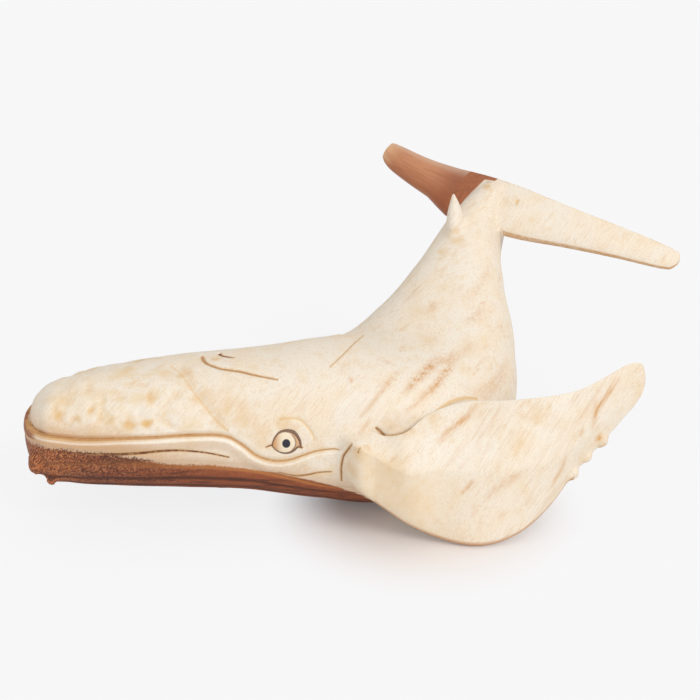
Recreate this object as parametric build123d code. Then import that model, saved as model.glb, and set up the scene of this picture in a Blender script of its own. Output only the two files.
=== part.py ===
from build123d import *
import math
import os

# A hand-carved wooden whale that rests on its belly and its two spread fins.
# X runs back from the snout along the head, Z is up, and the whale's left side faces -Y.
# The origin is the centre of the flat sanded on the belly, on the ground.

# Body
BODY_LENGTH = 420.0  # snout to the notch between the flukes, along the head's axis
TAIL_SWING = 166.0  # how far the tail bends to the whale's right
TAIL_RISE = 130.0  # how far the notch stands above the snout's centre
CHEST_WIDTH = 168.0
CHEST_DEPTH = 126.0
SNOUT_HEIGHT = 64.5  # from the ground to the middle of the snout
BELLY_PLACE_share = 0.655  # where the belly flat lies along the body

# Pectoral fins
FIN_LENGTH = 214.0  # from the middle of the root to the tip
FIN_DEPTH = 112.0  # from the ground to the top edge
FIN_THICKNESS = 17.0  # at the root
FIN_BULGE = 10.0  # how far the blade bows outward between its edges
FIN_KNOB_RADIUS = 3.6
LEFT_FIN_YAW = 0.0  # degrees that the blade is turned from the head's axis
RIGHT_FIN_YAW = 48.0
LEFT_FIN_ROW_share = 7.5  # place of the root among the body's sections
RIGHT_FIN_ROW_share = 7.3
LEFT_FIN_LIFT_share = 1.0  # height of the blade against FIN_DEPTH
RIGHT_FIN_LIFT_share = 0.72  # this fin was carved lower

# Flukes
FLUKE_LENGTH = 158.0  # from the middle of the tail to one tip
FLUKE_CHORD = 60.0  # front to rear at the root
FLUKE_THICKNESS = 21.0
FLUKE_YAW = 36.0
FLUKE_PITCH = 40.0
FLUKE_ROLL = -8.0
LEFT_DROOP = 53.0  # how far each tip hangs below the plane of the root
RIGHT_DROOP = 23.0
NOTCH_SETBACK = 17.0  # from the end of the tail stock to the middle of the flukes

# Small carved forms
DORSAL_HEIGHT = 15.0
DORSAL_LENGTH = 24.0
DORSAL_WIDTH = 8.0
DORSAL_ROW_share = 11.7
CHIN_KNOB_RADIUS = 5.2
MOUTH_DEPTH = 2.2
PLEAT_DEPTH = 1.3

# Joints
DOWEL_DIAMETER = 5.0
DOWEL_DEPTH = 9.0  # how far a dowel reaches into each of the two pieces it holds
DOWEL_CLEARANCE = 0.05  # around a dowel, for the glue
DOWEL_END_GAP = 0.8

# Fullness of the body's sections: 2 is an ellipse and more is squarer
SECTION_POWER_share = 2.25

# Each row is one section of the body from the snout to the notch, in shares of:
# BODY_LENGTH, TAIL_SWING, TAIL_RISE, half of CHEST_WIDTH, CHEST_DEPTH above, CHEST_DEPTH below
body_shares = (
    (0.000, 0.000, 0.000, 0.057, 0.032, 0.038),
    (0.010, 0.000, 0.000, 0.248, 0.140, 0.127),
    (0.034, 0.000, 0.000, 0.420, 0.260, 0.203),
    (0.086, -0.005, -0.006, 0.543, 0.343, 0.267),
    (0.171, -0.010, -0.019, 0.648, 0.400, 0.286),
    (0.286, -0.024, -0.037, 0.705, 0.457, 0.292),
    (0.410, -0.043, -0.062, 0.750, 0.502, 0.300),
    (0.533, -0.053, -0.080, 0.810, 0.550, 0.385),
    (0.651, -0.015, -0.074, 0.960, 0.533, 0.480),
    (0.750, 0.130, 0.031, 0.990, 0.432, 0.559),
    (0.823, 0.357, 0.222, 0.762, 0.368, 0.489),
    (0.878, 0.600, 0.450, 0.505, 0.311, 0.406),
    (0.933, 0.831, 0.710, 0.295, 0.248, 0.356),
    (1.000, 1.000, 1.000, 0.133, 0.064, 0.190),
)

# Each row is one upright section of a fin from its hidden root to its tip: place back, front
# edge out and up, rear edge out and up, thickness and bow. Back is a share of FIN_LENGTH, out
# and up are shares of FIN_DEPTH, and the last two are of FIN_THICKNESS and FIN_BULGE.
fin_shares = (
    (-0.225, -0.320, 0.470, -0.320, 0.690, 0.90, 0.00),
    (-0.120, -0.030, 0.440, -0.040, 0.710, 1.00, 0.30),
    (0.000, 0.085, 0.285, 0.035, 0.735, 1.00, 0.70),
    (0.100, 0.135, 0.150, 0.065, 0.770, 0.88, 0.80),
    (0.205, 0.195, 0.050, -0.070, 0.810, 0.74, 0.90),
    (0.345, 0.280, 0.009, -0.150, 0.845, 0.64, 1.00),
    (0.505, 0.245, 0.052, -0.085, 0.865, 0.57, 0.85),
    (0.635, 0.130, 0.155, -0.065, 0.880, 0.53, 0.65),
    (0.750, 0.000, 0.305, -0.085, 0.895, 0.48, 0.45),
    (0.915, -0.150, 0.615, -0.205, 0.955, 0.38, 0.20),
    (0.995, -0.220, 0.890, -0.240, 0.980, 0.20, 0.00),
    (1.000, -0.230, 0.925, -0.235, 0.965, 0.12, 0.00),
)
FIN_SEAM_INDEX = 2

# Each row is one section of a fluke from the middle of the tail to its tip: place as a share of
# FLUKE_LENGTH, front and rear edge of FLUKE_CHORD, thickness of FLUKE_THICKNESS
fluke_shares = (
    (0.000, -0.60, 0.260, 0.90),
    (0.205, -0.54, 0.285, 0.76),
    (0.285, -0.42, 0.300, 0.66),
    (0.354, -0.34, 0.32, 0.60),
    (0.505, -0.20, 0.37, 0.52),
    (0.657, -0.06, 0.43, 0.47),
    (0.808, 0.12, 0.50, 0.41),
    (0.909, 0.26, 0.54, 0.35),
    (0.965, 0.37, 0.56, 0.26),
    (1.000, 0.46, 0.54, 0.12),
)
FLUKE_SEAM_INDEX = 1
DROOP_POWER_share = 1.9

# Outline of a blade's section: place along the chord and half thickness, from the front edge
blade_shares = (
    (0.00, 0.00),
    (0.06, 0.60),
    (0.24, 0.94),
    (0.48, 1.00),
    (0.74, 0.76),
    (0.94, 0.40),
    (1.00, 0.00),
)
dowel_place_shares = (0.38, 0.58)  # along the chord of a seam

# The mouth line, one row to a section of the body: degrees up from its side, and the depth of
# the mouth line and of the throat pleats as shares of their full depths
mouth_shares = (
    (40.0, 0.3, 0.0),
    (40.0, 0.8, 0.0),
    (25.7, 1.0, 0.3),
    (22.5, 1.0, 1.0),
    (22.7, 1.0, 1.0),
    (22.8, 1.0, 1.0),
    (8.0, 1.0, 1.0),
    (10.5, 0.8, 1.0),
    (14.0, 0.0, 0.8),
    (14.0, 0.0, 0.0),
    (14.0, 0.0, 0.0),
    (14.0, 0.0, 0.0),
    (14.0, 0.0, 0.0),
    (14.0, 0.0, 0.0),
)
LIP_ANGLE = 4.0  # degrees between the mouth line and each lip
BACK_COUNT = 12  # points of a section from lip to lip over the back
THROAT_COUNT = 17  # and under the throat, where every second one lies in a pleat
SEAM_INDEX = 6  # where a section's outline starts, clear of what is added to it

# Chin knobs: section of the body, degrees round from its side, share of CHIN_KNOB_RADIUS
chin_knob_shares = (
    (1.4, 7.0, 0.5),
    (1.7, -22.0, 1.0),
    (2.45, -44.0, 0.70),
)
# Knobs on a fin's front edge: section of the fin and share of FIN_KNOB_RADIUS
fin_knob_shares = ((7.4, 0.8), (8.2, 1.0), (8.7, 0.9))


def mix(first, second, share):
    return first + (second - first) * share


def table_row(table, row):
    """One row of a table, or the blend of the two rows that a place between them has."""
    low = min(int(row), len(table) - 2)
    return [mix(a, b, row - low) for a, b in zip(table[low], table[low + 1])]


def spine_point(shares):
    x = shares[0] * BODY_LENGTH
    return Vector(x, shares[1] * TAIL_SWING, shares[2] * TAIL_RISE + SNOUT_HEIGHT)


spine = Spline([spine_point(shares) for shares in body_shares])
spine_places = [spine.param_at_point(spine_point(shares)) for shares in body_shares]


def body_frame(row):
    """Centre, rearward, leftward and upward directions of the body at a section."""
    place = table_row([(p,) for p in spine_places], row)[0]
    rear = spine.tangent_at(place)
    left = Vector(rear.Y, -rear.X, 0).normalized()
    return spine.position_at(place), rear, left, rear.cross(left) * -1


def rounded(value):
    """A cosine or sine bent to the fullness of the section."""
    return math.copysign(abs(value) ** (2 / SECTION_POWER_share), value)


def body_point(row, degrees, lift=0.0):
    """A point on the skin, with degrees counted from the left side over the back."""
    centre, rear, left, up = body_frame(row)
    _, _, _, width, above, below = table_row(body_shares, row)
    across = rounded(math.cos(math.radians(degrees)))
    along_up = rounded(math.sin(math.radians(degrees)))
    height = (above if along_up > 0 else below) * CHEST_DEPTH
    offset = left * (across * width * CHEST_WIDTH / 2) + up * (along_up * height)
    return centre + offset + offset.normalized() * lift


def even_steps(count):
    """The same spacing for every section, so that the lofts stay smooth and light."""
    return [step / count for step in range(count + 1)]


def closed_face(points):
    steps = even_steps(len(points))
    return Face(Wire(Edge.make_spline(points, periodic=True, parameters=steps)))


def body_section(row):
    """One section of the carved body, with its mouth line and throat pleats."""
    mouth, mouth_share, pleat_share = mouth_shares[row]
    points = []
    for start, end, count, recess in (
        (mouth, 180 - mouth, BACK_COUNT, 0),
        (180 - mouth, 360 + mouth, THROAT_COUNT, PLEAT_DEPTH * pleat_share),
    ):
        points.append(body_point(row, start, -MOUTH_DEPTH * mouth_share))
        for step in range(count):
            turn = mix(start + LIP_ANGLE, end - LIP_ANGLE, step / (count - 1))
            points.append(body_point(row, turn, -recess * (step % 2)))
    return closed_face(points[SEAM_INDEX:] + points[:SEAM_INDEX])


def blade_section(front, rear, outward, thickness, bow):
    """A thin rounded section between two edges, bowed towards outward."""
    chord = rear - front

    def surface(place, half):
        lift = 4 * place * (1 - place) * bow + half * thickness / 2
        return front + chord * place + outward * lift

    edges = []
    for side in (1, -1):
        points = [surface(place, side * half) for place, half in blade_shares][::side]
        steps = even_steps(len(points) - 1)
        edges.append(Edge.make_spline(points, parameters=steps))
    return Face(Wire(edges))


def dowel(seam, radius, depth):
    """A cylinder that reaches the same depth to both sides of a seam."""
    return seam * Cylinder(radius, 2 * depth)


class FinRoot:
    """The place of one pectoral fin: its own back, out and up directions on the ground."""

    def __init__(self, side, row, yaw, lift_share):
        centre, _, left, _ = body_frame(row)
        width = table_row(body_shares, row)[3]
        flank = centre - left * (side * width * CHEST_WIDTH / 2)
        self.origin = Vector(flank.X, flank.Y, 0)
        self.back = Vector(math.cos(math.radians(yaw)), math.sin(math.radians(yaw)), 0)
        self.out = Vector(-self.back.Y, self.back.X, 0) * side
        self.side = side
        self.lift_share = lift_share

    def point(self, back, out, height):
        high = height * FIN_DEPTH
        if back > 0:
            high = mix(high, high * self.lift_share, min(back, 1.0))
        flat = self.back * (back * FIN_LENGTH) + self.out * (out * FIN_DEPTH)
        return self.origin + flat + Vector(0, 0, high)

    def edges(self, row):
        back, front_out, front_up, rear_out, rear_up, _, _ = table_row(fin_shares, row)
        return self.point(back, front_out, front_up), self.point(back, rear_out, rear_up)

    def outward(self, row):
        """Square to the chord within the upright section."""
        front, rear = self.edges(row)
        return self.back.cross(rear - front).normalized() * -self.side

    def section(self, row):
        front, rear = self.edges(row)
        thickness, bow = table_row(fin_shares, row)[5:7]
        sizes = (thickness * FIN_THICKNESS, bow * FIN_BULGE)
        return blade_section(front, rear, self.outward(row), *sizes)

    def seam(self, place):
        """The frame of a dowel at a place along the seam's chord."""
        front, rear = self.edges(FIN_SEAM_INDEX)
        outward = self.outward(FIN_SEAM_INDEX)
        bow = fin_shares[FIN_SEAM_INDEX][6] * FIN_BULGE
        spot = front + (rear - front) * place + outward * (4 * place * (1 - place) * bow)
        return Plane(spot, x_dir=outward, z_dir=self.back)

    def knobs(self):
        spots = [(self.edges(row)[0], size) for row, size in fin_knob_shares]
        return [Pos(*spot) * Sphere(size * FIN_KNOB_RADIUS) for spot, size in spots]


class FlukeRoot:
    """The place of one fluke: out along the fluke, rearward, and square to both."""

    def __init__(self, side, droop):
        yaw, pitch = math.radians(FLUKE_YAW), math.radians(FLUKE_PITCH)
        roll = math.radians(FLUKE_ROLL)
        level = Vector(math.sin(yaw), -math.cos(yaw), 0)
        flat = math.cos(pitch)
        self.rear = Vector(math.cos(yaw) * flat, math.sin(yaw) * flat, math.sin(pitch))
        top = self.rear.cross(level) * -1
        self.top = top * math.cos(roll) - level * math.sin(roll)
        self.out = (level * math.cos(roll) + top * math.sin(roll)) * -side
        self.middle = spine_point(body_shares[-1]) - self.rear * NOTCH_SETBACK
        self.droop = droop

    def edges(self, row):
        place, front, rear, _ = table_row(fluke_shares, row)
        sag = self.top * (-self.droop * place**DROOP_POWER_share)
        root = self.middle + self.out * (place * FLUKE_LENGTH) + sag
        return root + self.rear * (front * FLUKE_CHORD), root + self.rear * (rear * FLUKE_CHORD)

    def section(self, row):
        front, rear = self.edges(row)
        thickness = table_row(fluke_shares, row)[3] * FLUKE_THICKNESS
        return blade_section(front, rear, self.top, thickness, 0)

    def seam(self, place):
        front, rear = self.edges(FLUKE_SEAM_INDEX)
        spot = front + (rear - front) * place
        return Plane(spot, x_dir=self.rear, z_dir=self.out)


left_fin = FinRoot(-1, LEFT_FIN_ROW_share, LEFT_FIN_YAW, LEFT_FIN_LIFT_share)
right_fin = FinRoot(1, RIGHT_FIN_ROW_share, RIGHT_FIN_YAW, RIGHT_FIN_LIFT_share)
left_fluke = FlukeRoot(-1, LEFT_DROOP)
right_fluke = FlukeRoot(1, RIGHT_DROOP)
seats = {
    "left_pectoral_fin": left_fin,
    "right_pectoral_fin": right_fin,
    "left_fluke": left_fluke,
    "right_fluke": right_fluke,
}


def dowel_bores(seat):
    radius = DOWEL_DIAMETER / 2 + DOWEL_CLEARANCE
    depth = DOWEL_DEPTH + DOWEL_END_GAP
    return [dowel(seat.seam(place), radius, depth) for place in dowel_place_shares]


def chin_knobs():
    knobs = []
    for row, angle, size in chin_knob_shares:
        for turn in (angle, 180 - angle):
            knobs.append(Pos(*body_point(row, turn)) * Sphere(size * CHIN_KNOB_RADIUS))
    return knobs


def dorsal_fin():
    """A small hooked fin on the ridge of the tail stock."""
    spot = body_point(DORSAL_ROW_share, 90)
    _, rear, left, up = body_frame(DORSAL_ROW_share)
    sunk = DORSAL_HEIGHT / 2
    foot = Plane(spot - up * sunk, x_dir=rear, z_dir=up)
    top = Plane(spot + up * DORSAL_HEIGHT + rear * (DORSAL_LENGTH / 4), x_dir=rear, z_dir=up)
    base = foot * Ellipse(DORSAL_LENGTH / 2, DORSAL_WIDTH / 2)
    return loft([base, top * Ellipse(DORSAL_LENGTH / 10, DORSAL_WIDTH / 8)])


def span(seat, first_row, last_row):
    """The smooth solid through a run of a blade's sections."""
    return loft([seat.section(row) for row in range(first_row, last_row + 1)])


def carve_body():
    trunk = loft([body_section(row) for row in range(len(body_shares))])
    added = [dorsal_fin()] + chin_knobs()
    for fin in (left_fin, right_fin):
        added.append(span(fin, 0, FIN_SEAM_INDEX))
    tail = [left_fluke.section(FLUKE_SEAM_INDEX), left_fluke.section(0)]
    added.append(loft(tail + [right_fluke.section(FLUKE_SEAM_INDEX)]))
    body = trunk.fuse(*added)
    hanging = (Align.CENTER, Align.CENTER, Align.MAX)
    cuts = [Box(2 * BODY_LENGTH, 2 * BODY_LENGTH, CHEST_DEPTH, align=hanging)]
    for seat in seats.values():
        cuts += dowel_bores(seat)
    return body.cut(*cuts)


def carve_fin(fin):
    blade = span(fin, FIN_SEAM_INDEX, len(fin_shares) - 1)
    return blade.fuse(*fin.knobs()).cut(*dowel_bores(fin))


def carve_fluke(fluke):
    return span(fluke, FLUKE_SEAM_INDEX, len(fluke_shares) - 1).cut(*dowel_bores(fluke))


pieces = {"body": carve_body()}
for name, seat in seats.items():
    pieces[name] = carve_fin(seat) if isinstance(seat, FinRoot) else carve_fluke(seat)
    for end, place in zip(("front", "rear"), dowel_place_shares):
        pin = dowel(seat.seam(place), DOWEL_DIAMETER / 2, DOWEL_DEPTH)
        pieces[name + "_" + end + "_dowel"] = pin

os.makedirs("parts", exist_ok=True)
origin = Vector(BELLY_PLACE_share * BODY_LENGTH, 0, 0)
for name, piece in pieces.items():
    export_step(Pos(*(origin * -1)) * piece, "parts/" + name + ".step")
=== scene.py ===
import math

import bmesh
import bpy
import numpy as np
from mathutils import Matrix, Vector, noise
from mathutils.bvhtree import BVHTree
from mathutils.kdtree import KDTree


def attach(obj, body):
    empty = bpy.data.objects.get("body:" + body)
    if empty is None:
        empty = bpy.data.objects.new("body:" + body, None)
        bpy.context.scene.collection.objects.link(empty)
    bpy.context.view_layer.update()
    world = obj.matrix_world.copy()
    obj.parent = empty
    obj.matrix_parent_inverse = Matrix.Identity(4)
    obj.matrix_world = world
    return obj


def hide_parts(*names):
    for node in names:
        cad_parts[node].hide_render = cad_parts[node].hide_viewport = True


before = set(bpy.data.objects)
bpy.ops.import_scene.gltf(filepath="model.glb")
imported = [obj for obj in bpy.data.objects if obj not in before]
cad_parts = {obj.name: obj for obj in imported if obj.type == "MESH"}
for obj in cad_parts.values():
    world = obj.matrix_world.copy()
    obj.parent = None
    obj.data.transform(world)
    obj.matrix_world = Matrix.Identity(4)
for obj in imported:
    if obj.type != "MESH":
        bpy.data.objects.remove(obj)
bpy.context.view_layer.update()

# The view
# The whale was photographed from its left and a little above, with a lens of medium length.
# Carved lines whose place is known only from the photograph are pixels of it, and are carried
# to the wood along the camera's line of sight.
IMAGE_px = 700
FOCUS_px = 1150  # distance from the lens to the image
SENSOR_mm = 36.0
VIEW_TURN = 10.0  # degrees towards the snout from square to the head
VIEW_HEIGHT = 24.0  # degrees above the floor
VIEW_DISTANCE = 0.92
VIEW_TARGET = Vector((-0.018, 0.0115, 0.1101))
NEAREST_SEEN = 0.01


def set_down(name, data):
    """A new object of the scene round some data."""
    made = bpy.data.objects.new(name, data)
    bpy.context.scene.collection.objects.link(made)
    return made


turn, lift = math.radians(VIEW_TURN), math.radians(VIEW_HEIGHT)
towards = Vector((-math.sin(turn) * math.cos(lift), -math.cos(turn) * math.cos(lift), math.sin(lift)))
camera_data = bpy.data.cameras.new("camera")
camera = set_down("camera", camera_data)
camera.location = VIEW_TARGET + towards * VIEW_DISTANCE
camera.rotation_euler = towards.to_track_quat("Z", "Y").to_euler()
camera_data.sensor_width = SENSOR_mm
camera_data.lens = FOCUS_px / IMAGE_px * SENSOR_mm
camera_data.clip_start = NEAREST_SEEN
bpy.context.scene.camera = camera


def sight(pixel):
    """The line of sight through a pixel of the photograph."""
    middle = IMAGE_px / 2
    ray = Vector((pixel[0] - middle, middle - pixel[1], -FOCUS_px))
    return camera.location, (camera.rotation_euler.to_matrix() @ ray).normalized()


# The trunk
# Snout, back, belly and tail stock are one block of pale tropical wood, bent in one sweep to
# the whale's right, carved with knives and sanded. It lies on a flat sanded on its belly.
BODY_LENGTH = 0.420
TAIL_SWING = 0.166
TAIL_RISE = 0.130
CHEST_WIDTH = 0.168
CHEST_DEPTH = 0.126
SNOUT_HEIGHT = 0.0645
BELLY_PLACE_share = 0.655
SECTION_POWER = 2.25

# Sections from the snout to the notch, in shares of BODY_LENGTH, TAIL_SWING, TAIL_RISE, half of
# CHEST_WIDTH, CHEST_DEPTH above the middle and CHEST_DEPTH below it
body_shares = np.array((
    (0.000, 0.000, 0.000, 0.057, 0.032, 0.055),
    (0.010, 0.000, 0.000, 0.248, 0.140, 0.168),
    (0.034, 0.000, 0.000, 0.420, 0.260, 0.252),
    (0.086, -0.005, -0.006, 0.543, 0.343, 0.280),
    (0.171, -0.010, -0.019, 0.648, 0.400, 0.286),
    (0.286, -0.024, -0.037, 0.705, 0.457, 0.292),
    (0.410, -0.043, -0.062, 0.750, 0.502, 0.300),
    (0.533, -0.053, -0.080, 0.810, 0.550, 0.385),
    (0.651, -0.015, -0.074, 0.960, 0.533, 0.480),
    (0.750, 0.130, 0.031, 0.990, 0.432, 0.559),
    (0.823, 0.357, 0.222, 0.762, 0.368, 0.489),
    (0.878, 0.600, 0.450, 0.505, 0.311, 0.406),
    (0.933, 0.831, 0.710, 0.295, 0.248, 0.356),
    (1.000, 1.000, 1.000, 0.133, 0.064, 0.190),
))


def limited(values):
    """Values held between 0 and 1."""
    return np.clip(values, 0, 1)


def lengths(vectors):
    return np.linalg.norm(vectors, axis=1)


def smooth_rows(keys, rows):
    """A smooth curve through the rows of a table, as a function of the key."""
    keys, rows = np.asarray(keys, float), np.asarray(rows, float)
    steps = np.diff(keys)
    rises = np.diff(rows, axis=0) / steps[:, None]
    before, after = steps[:-1, None], steps[1:, None]
    inner = (after * rises[:-1] + before * rises[1:]) / (before + after)
    slopes = np.vstack([rises[:1], inner, rises[-1:]])

    def at(places):
        places = np.atleast_1d(places)
        low = np.clip(np.searchsorted(keys, places, side="right") - 1, 0, len(keys) - 2)
        width = steps[low][:, None]
        u = (places - keys[low])[:, None] / width
        first = (1 + 2 * u) * (1 - u) ** 2 * rows[low] + u * (1 - u) ** 2 * width * slopes[low]
        second = u * u * (3 - 2 * u) * rows[low + 1] + u * u * (u - 1) * width * slopes[low + 1]
        return first + second

    return at


origin = np.array((BELLY_PLACE_share * BODY_LENGTH, 0.0, -SNOUT_HEIGHT))
spine_rows = body_shares[:, :3] * (BODY_LENGTH, TAIL_SWING, TAIL_RISE) - origin
half_rows = body_shares[:, 3:] * (CHEST_WIDTH / 2, CHEST_DEPTH, CHEST_DEPTH)
row_places = np.concatenate([[0], np.cumsum(lengths(np.diff(spine_rows, axis=0)))])
spine_at = smooth_rows(row_places, spine_rows)
halves_at = smooth_rows(row_places, half_rows)


def body_frames(places):
    """Middle of the body with its rearward, leftward and upward directions."""
    step = 0.0005
    rear = spine_at(places + step) - spine_at(places - step)
    rear /= lengths(rear)[:, None]
    left = np.column_stack([rear[:, 1], -rear[:, 0], np.zeros(len(rear))])
    left /= lengths(left)[:, None]
    return spine_at(places), rear, left, -np.cross(rear, left)


def row_place(row):
    """Distance along the spine of a place among the table's rows."""
    return float(np.interp(row, np.arange(len(row_places)), row_places))


def bent(values):
    """Cosines or sines bent to the fullness of the section."""
    return np.sign(values) * np.abs(values) ** (2 / SECTION_POWER)


def body_points(places, degrees):
    """Points on the skin, with degrees counted from the left side over the back."""
    middle, _, left, up = body_frames(places)
    width, above, below = halves_at(places).T
    angle = np.radians(np.asarray(degrees, float)) * np.ones(len(middle))
    across = bent(np.cos(angle)) * width
    rise = bent(np.sin(angle))
    rise = rise * np.where(rise > 0, above, below)
    return middle + (left * across[:, None] + up * rise[:, None])


def paced(stops):
    """Places from stop to stop, each with the spacing wanted up to it."""
    places = [stops[0][0]]
    for (start, _), (end, spacing) in zip(stops, stops[1:]):
        count = max(1, round((end - start) / spacing))
        places += [start + (end - start) * step / count for step in range(1, count + 1)]
    return np.array(places)


def closed_shell(name, rings):
    """A closed mesh through rings of points, with a fan over each end."""
    count, around = rings.shape[:2]
    points = [tuple(p) for p in rings.reshape(-1, 3)]
    points += [tuple(rings[0].mean(axis=0)), tuple(rings[-1].mean(axis=0))]
    faces = []
    for ring in range(count - 1):
        for k in range(around):
            a, b = ring * around + k, ring * around + (k + 1) % around
            faces.append((a, b, b + around, a + around))
    last = (count - 1) * around
    for k in range(around):
        faces.append((count * around, (k + 1) % around, k))
        faces.append((count * around + 1, last + k, last + (k + 1) % around))
    mesh = bpy.data.meshes.new(name)
    mesh.from_pydata(points, [], faces)
    shape = bmesh.new()
    shape.from_mesh(mesh)
    bmesh.ops.recalc_face_normals(shape, faces=shape.faces)
    shape.to_mesh(mesh)
    shape.free()
    return set_down(name, mesh)


def skin_of(piece):
    """The surface of a piece, for lines of sight and for measuring gaps."""
    return BVHTree.FromObject(piece, bpy.context.evaluated_depsgraph_get())


TRUNK_END = row_places[-1]
EYE_PLACE = 0.238  # along the spine, where the carving is finest
# Stops along the spine in metres and round the skin in degrees, each with the spacing up to it
ring_places = paced((
    (0.0, 0.0), (0.006, 0.0005), (EYE_PLACE - 0.020, 0.0013), (EYE_PLACE + 0.016, 0.0008),
    (0.330, 0.0014), (TRUNK_END, 0.0024),
))
half_turn = paced(((-90, 0), (-45, 3.2), (-30, 1.6), (30, 0.85), (50, 1.4), (90, 3.6)))
ring_degrees = np.concatenate([half_turn[:-1], 180 - half_turn[::-1][:-1]])
rings_of_trunk = np.stack([body_points(ring_places, angle) for angle in ring_degrees], axis=1)
rings_of_trunk[..., 2] = np.maximum(rings_of_trunk[..., 2], 0.0)
trunk = closed_shell("trunk", rings_of_trunk)
trunk_skin = skin_of(trunk)

# The shoulders, which carry the pectoral fins
# Each shoulder is carved from the body's own block and ends in a flat seam. A fin is a board of
# the same wood, thinned to a blade, that goes on from there. The left one reaches the table.
FIN_LENGTH = 0.214
FIN_DEPTH = 0.112
FIN_THICKNESS = 0.017
FIN_BULGE = 0.010
fin_seats = {
    "left": dict(side=-1, row=7.5, yaw=0.0, height_share=1.0),
    "right": dict(side=1, row=7.3, yaw=48.0, height_share=0.72),
}
# Upright sections from the hidden root to the tip: place back in shares of FIN_LENGTH, front
# edge out and up and rear edge out and up in shares of FIN_DEPTH, thickness, bow, and the place
# of the soft ridge between the edges
fin_shares = np.array((
    (-0.225, -0.420, 0.460, -0.450, 0.690, 0.90, 0.00, 0.80),
    (-0.120, -0.120, 0.450, -0.230, 0.700, 1.00, 0.50, 0.80),
    (-0.060, 0.075, 0.382, -0.085, 0.735, 1.04, 1.00, 0.74),
    (0.000, 0.096, 0.285, -0.045, 0.742, 1.04, 1.05, 0.70),
    (0.050, 0.125, 0.215, 0.025, 0.730, 0.95, 1.00, 0.68),
    (0.100, 0.155, 0.145, 0.060, 0.755, 0.88, 1.10, 0.64),
    (0.205, 0.225, 0.048, -0.070, 0.810, 0.74, 1.20, 0.57),
    (0.345, 0.325, 0.009, -0.150, 0.845, 0.64, 1.30, 0.51),
    (0.505, 0.285, 0.050, -0.085, 0.865, 0.57, 1.00, 0.49),
    (0.635, 0.150, 0.150, -0.065, 0.880, 0.53, 0.70, 0.45),
    (0.750, 0.000, 0.305, -0.085, 0.895, 0.48, 0.45, 0.42),
    (0.915, -0.130, 0.545, -0.205, 0.955, 0.38, 0.20, 0.40),
    (0.970, -0.165, 0.640, -0.230, 0.990, 0.36, 0.05, 0.40),
    (1.010, -0.190, 0.720, -0.238, 0.995, 0.33, 0.00, 0.40),
    (1.032, -0.205, 0.790, -0.238, 0.970, 0.26, 0.00, 0.40),
    (1.040, -0.215, 0.840, -0.236, 0.930, 0.14, 0.00, 0.40),
))
FIN_ROOT, FIN_TIP = fin_shares[0, 0], fin_shares[-1, 0]
fin_at = smooth_rows(fin_shares[:, 0], fin_shares[:, 1:])
BLADE_STEPS = 64
chord_places = (1 - np.cos(np.linspace(0, math.pi, BLADE_STEPS + 1))) / 2
BLADE_FULLNESS = 0.62  # under 1 it puts a blade's thickest place nearer its front edge
RIDGE_POWER = 1.35  # how hollow the bow is in front of its ridge


def blade_ring(front, rear, out, thickness, bow=0.0, ridge=0.5):
    """A thin rounded section between two edges, bowed outward to a soft ridge."""
    half = np.sqrt(np.sin(math.pi * chord_places**BLADE_FULLNESS).clip(0)) * thickness / 2
    lower = limited(chord_places / ridge) ** RIDGE_POWER
    upper = limited((1 - chord_places) / (1 - ridge))
    arch = np.where(chord_places < ridge, lower, upper * (1.6 - 0.6 * upper)) * bow
    chord = front + (rear - front) * chord_places[:, None]
    outer = chord + out * (arch + half)[:, None]
    inner = chord + out * (arch - half)[:, None]
    return np.vstack([outer, inner[-2:0:-1]])


def fin_edges(seat, backs):
    """Front and rear edge of a fin, and the direction that its sections face."""
    at = np.array([row_place(seat["row"])])
    middle, _, left, _ = (part[0] for part in body_frames(at))
    flank = middle - left * seat["side"] * halves_at(at)[0][0]
    yaw = math.radians(seat["yaw"])
    back = np.array((math.cos(yaw), math.sin(yaw), 0.0))
    out = np.array((-back[1], back[0], 0.0)) * seat["side"]
    rows = fin_at(backs)
    height = 1 + (seat["height_share"] - 1) * limited(backs)
    foot = np.array((flank[0], flank[1], 0.0)) + backs[:, None] * back * FIN_LENGTH
    up = np.array((0.0, 0.0, FIN_DEPTH))
    front = foot + rows[:, :1] * out * FIN_DEPTH + (rows[:, 1] * height)[:, None] * up
    rear = foot + rows[:, 2:3] * out * FIN_DEPTH + (rows[:, 3] * height)[:, None] * up
    square = np.cross(back, rear - front) * -seat["side"]
    return front, rear, square / lengths(square)[:, None], rows


def fin_shares_of(seat, points):
    """Where points lie on a fin: place back, share across, the ridge's share, and width there."""
    yaw = math.radians(seat["yaw"])
    start = fin_edges(seat, np.zeros(1))[0][0]
    back = (points - start) @ np.array((math.cos(yaw), math.sin(yaw), 0.0)) / FIN_LENGTH
    front, rear, _, rows = fin_edges(seat, np.clip(back, FIN_ROOT, FIN_TIP))
    span = rear - front
    across = ((points - front) * span).sum(axis=1) / (span * span).sum(axis=1)
    return back, across, rows[:, 6], lengths(span)


def fin_rings(seat, backs):
    """Rings of one fin, upright across its length."""
    front, rear, square, rows = fin_edges(seat, backs)
    rings = []
    for k, row in enumerate(rows):
        sizes = (row[4] * FIN_THICKNESS, row[5] * FIN_BULGE, row[6])
        rings.append(blade_ring(front[k], rear[k], square[k], *sizes))
    return np.stack(rings)


shoulder_backs = paced(((FIN_ROOT, 0), (0.0, 0.0055)))
shoulders = [
    closed_shell(side + "_shoulder", fin_rings(seat, shoulder_backs)) for side, seat in fin_seats.items()
]

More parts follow.
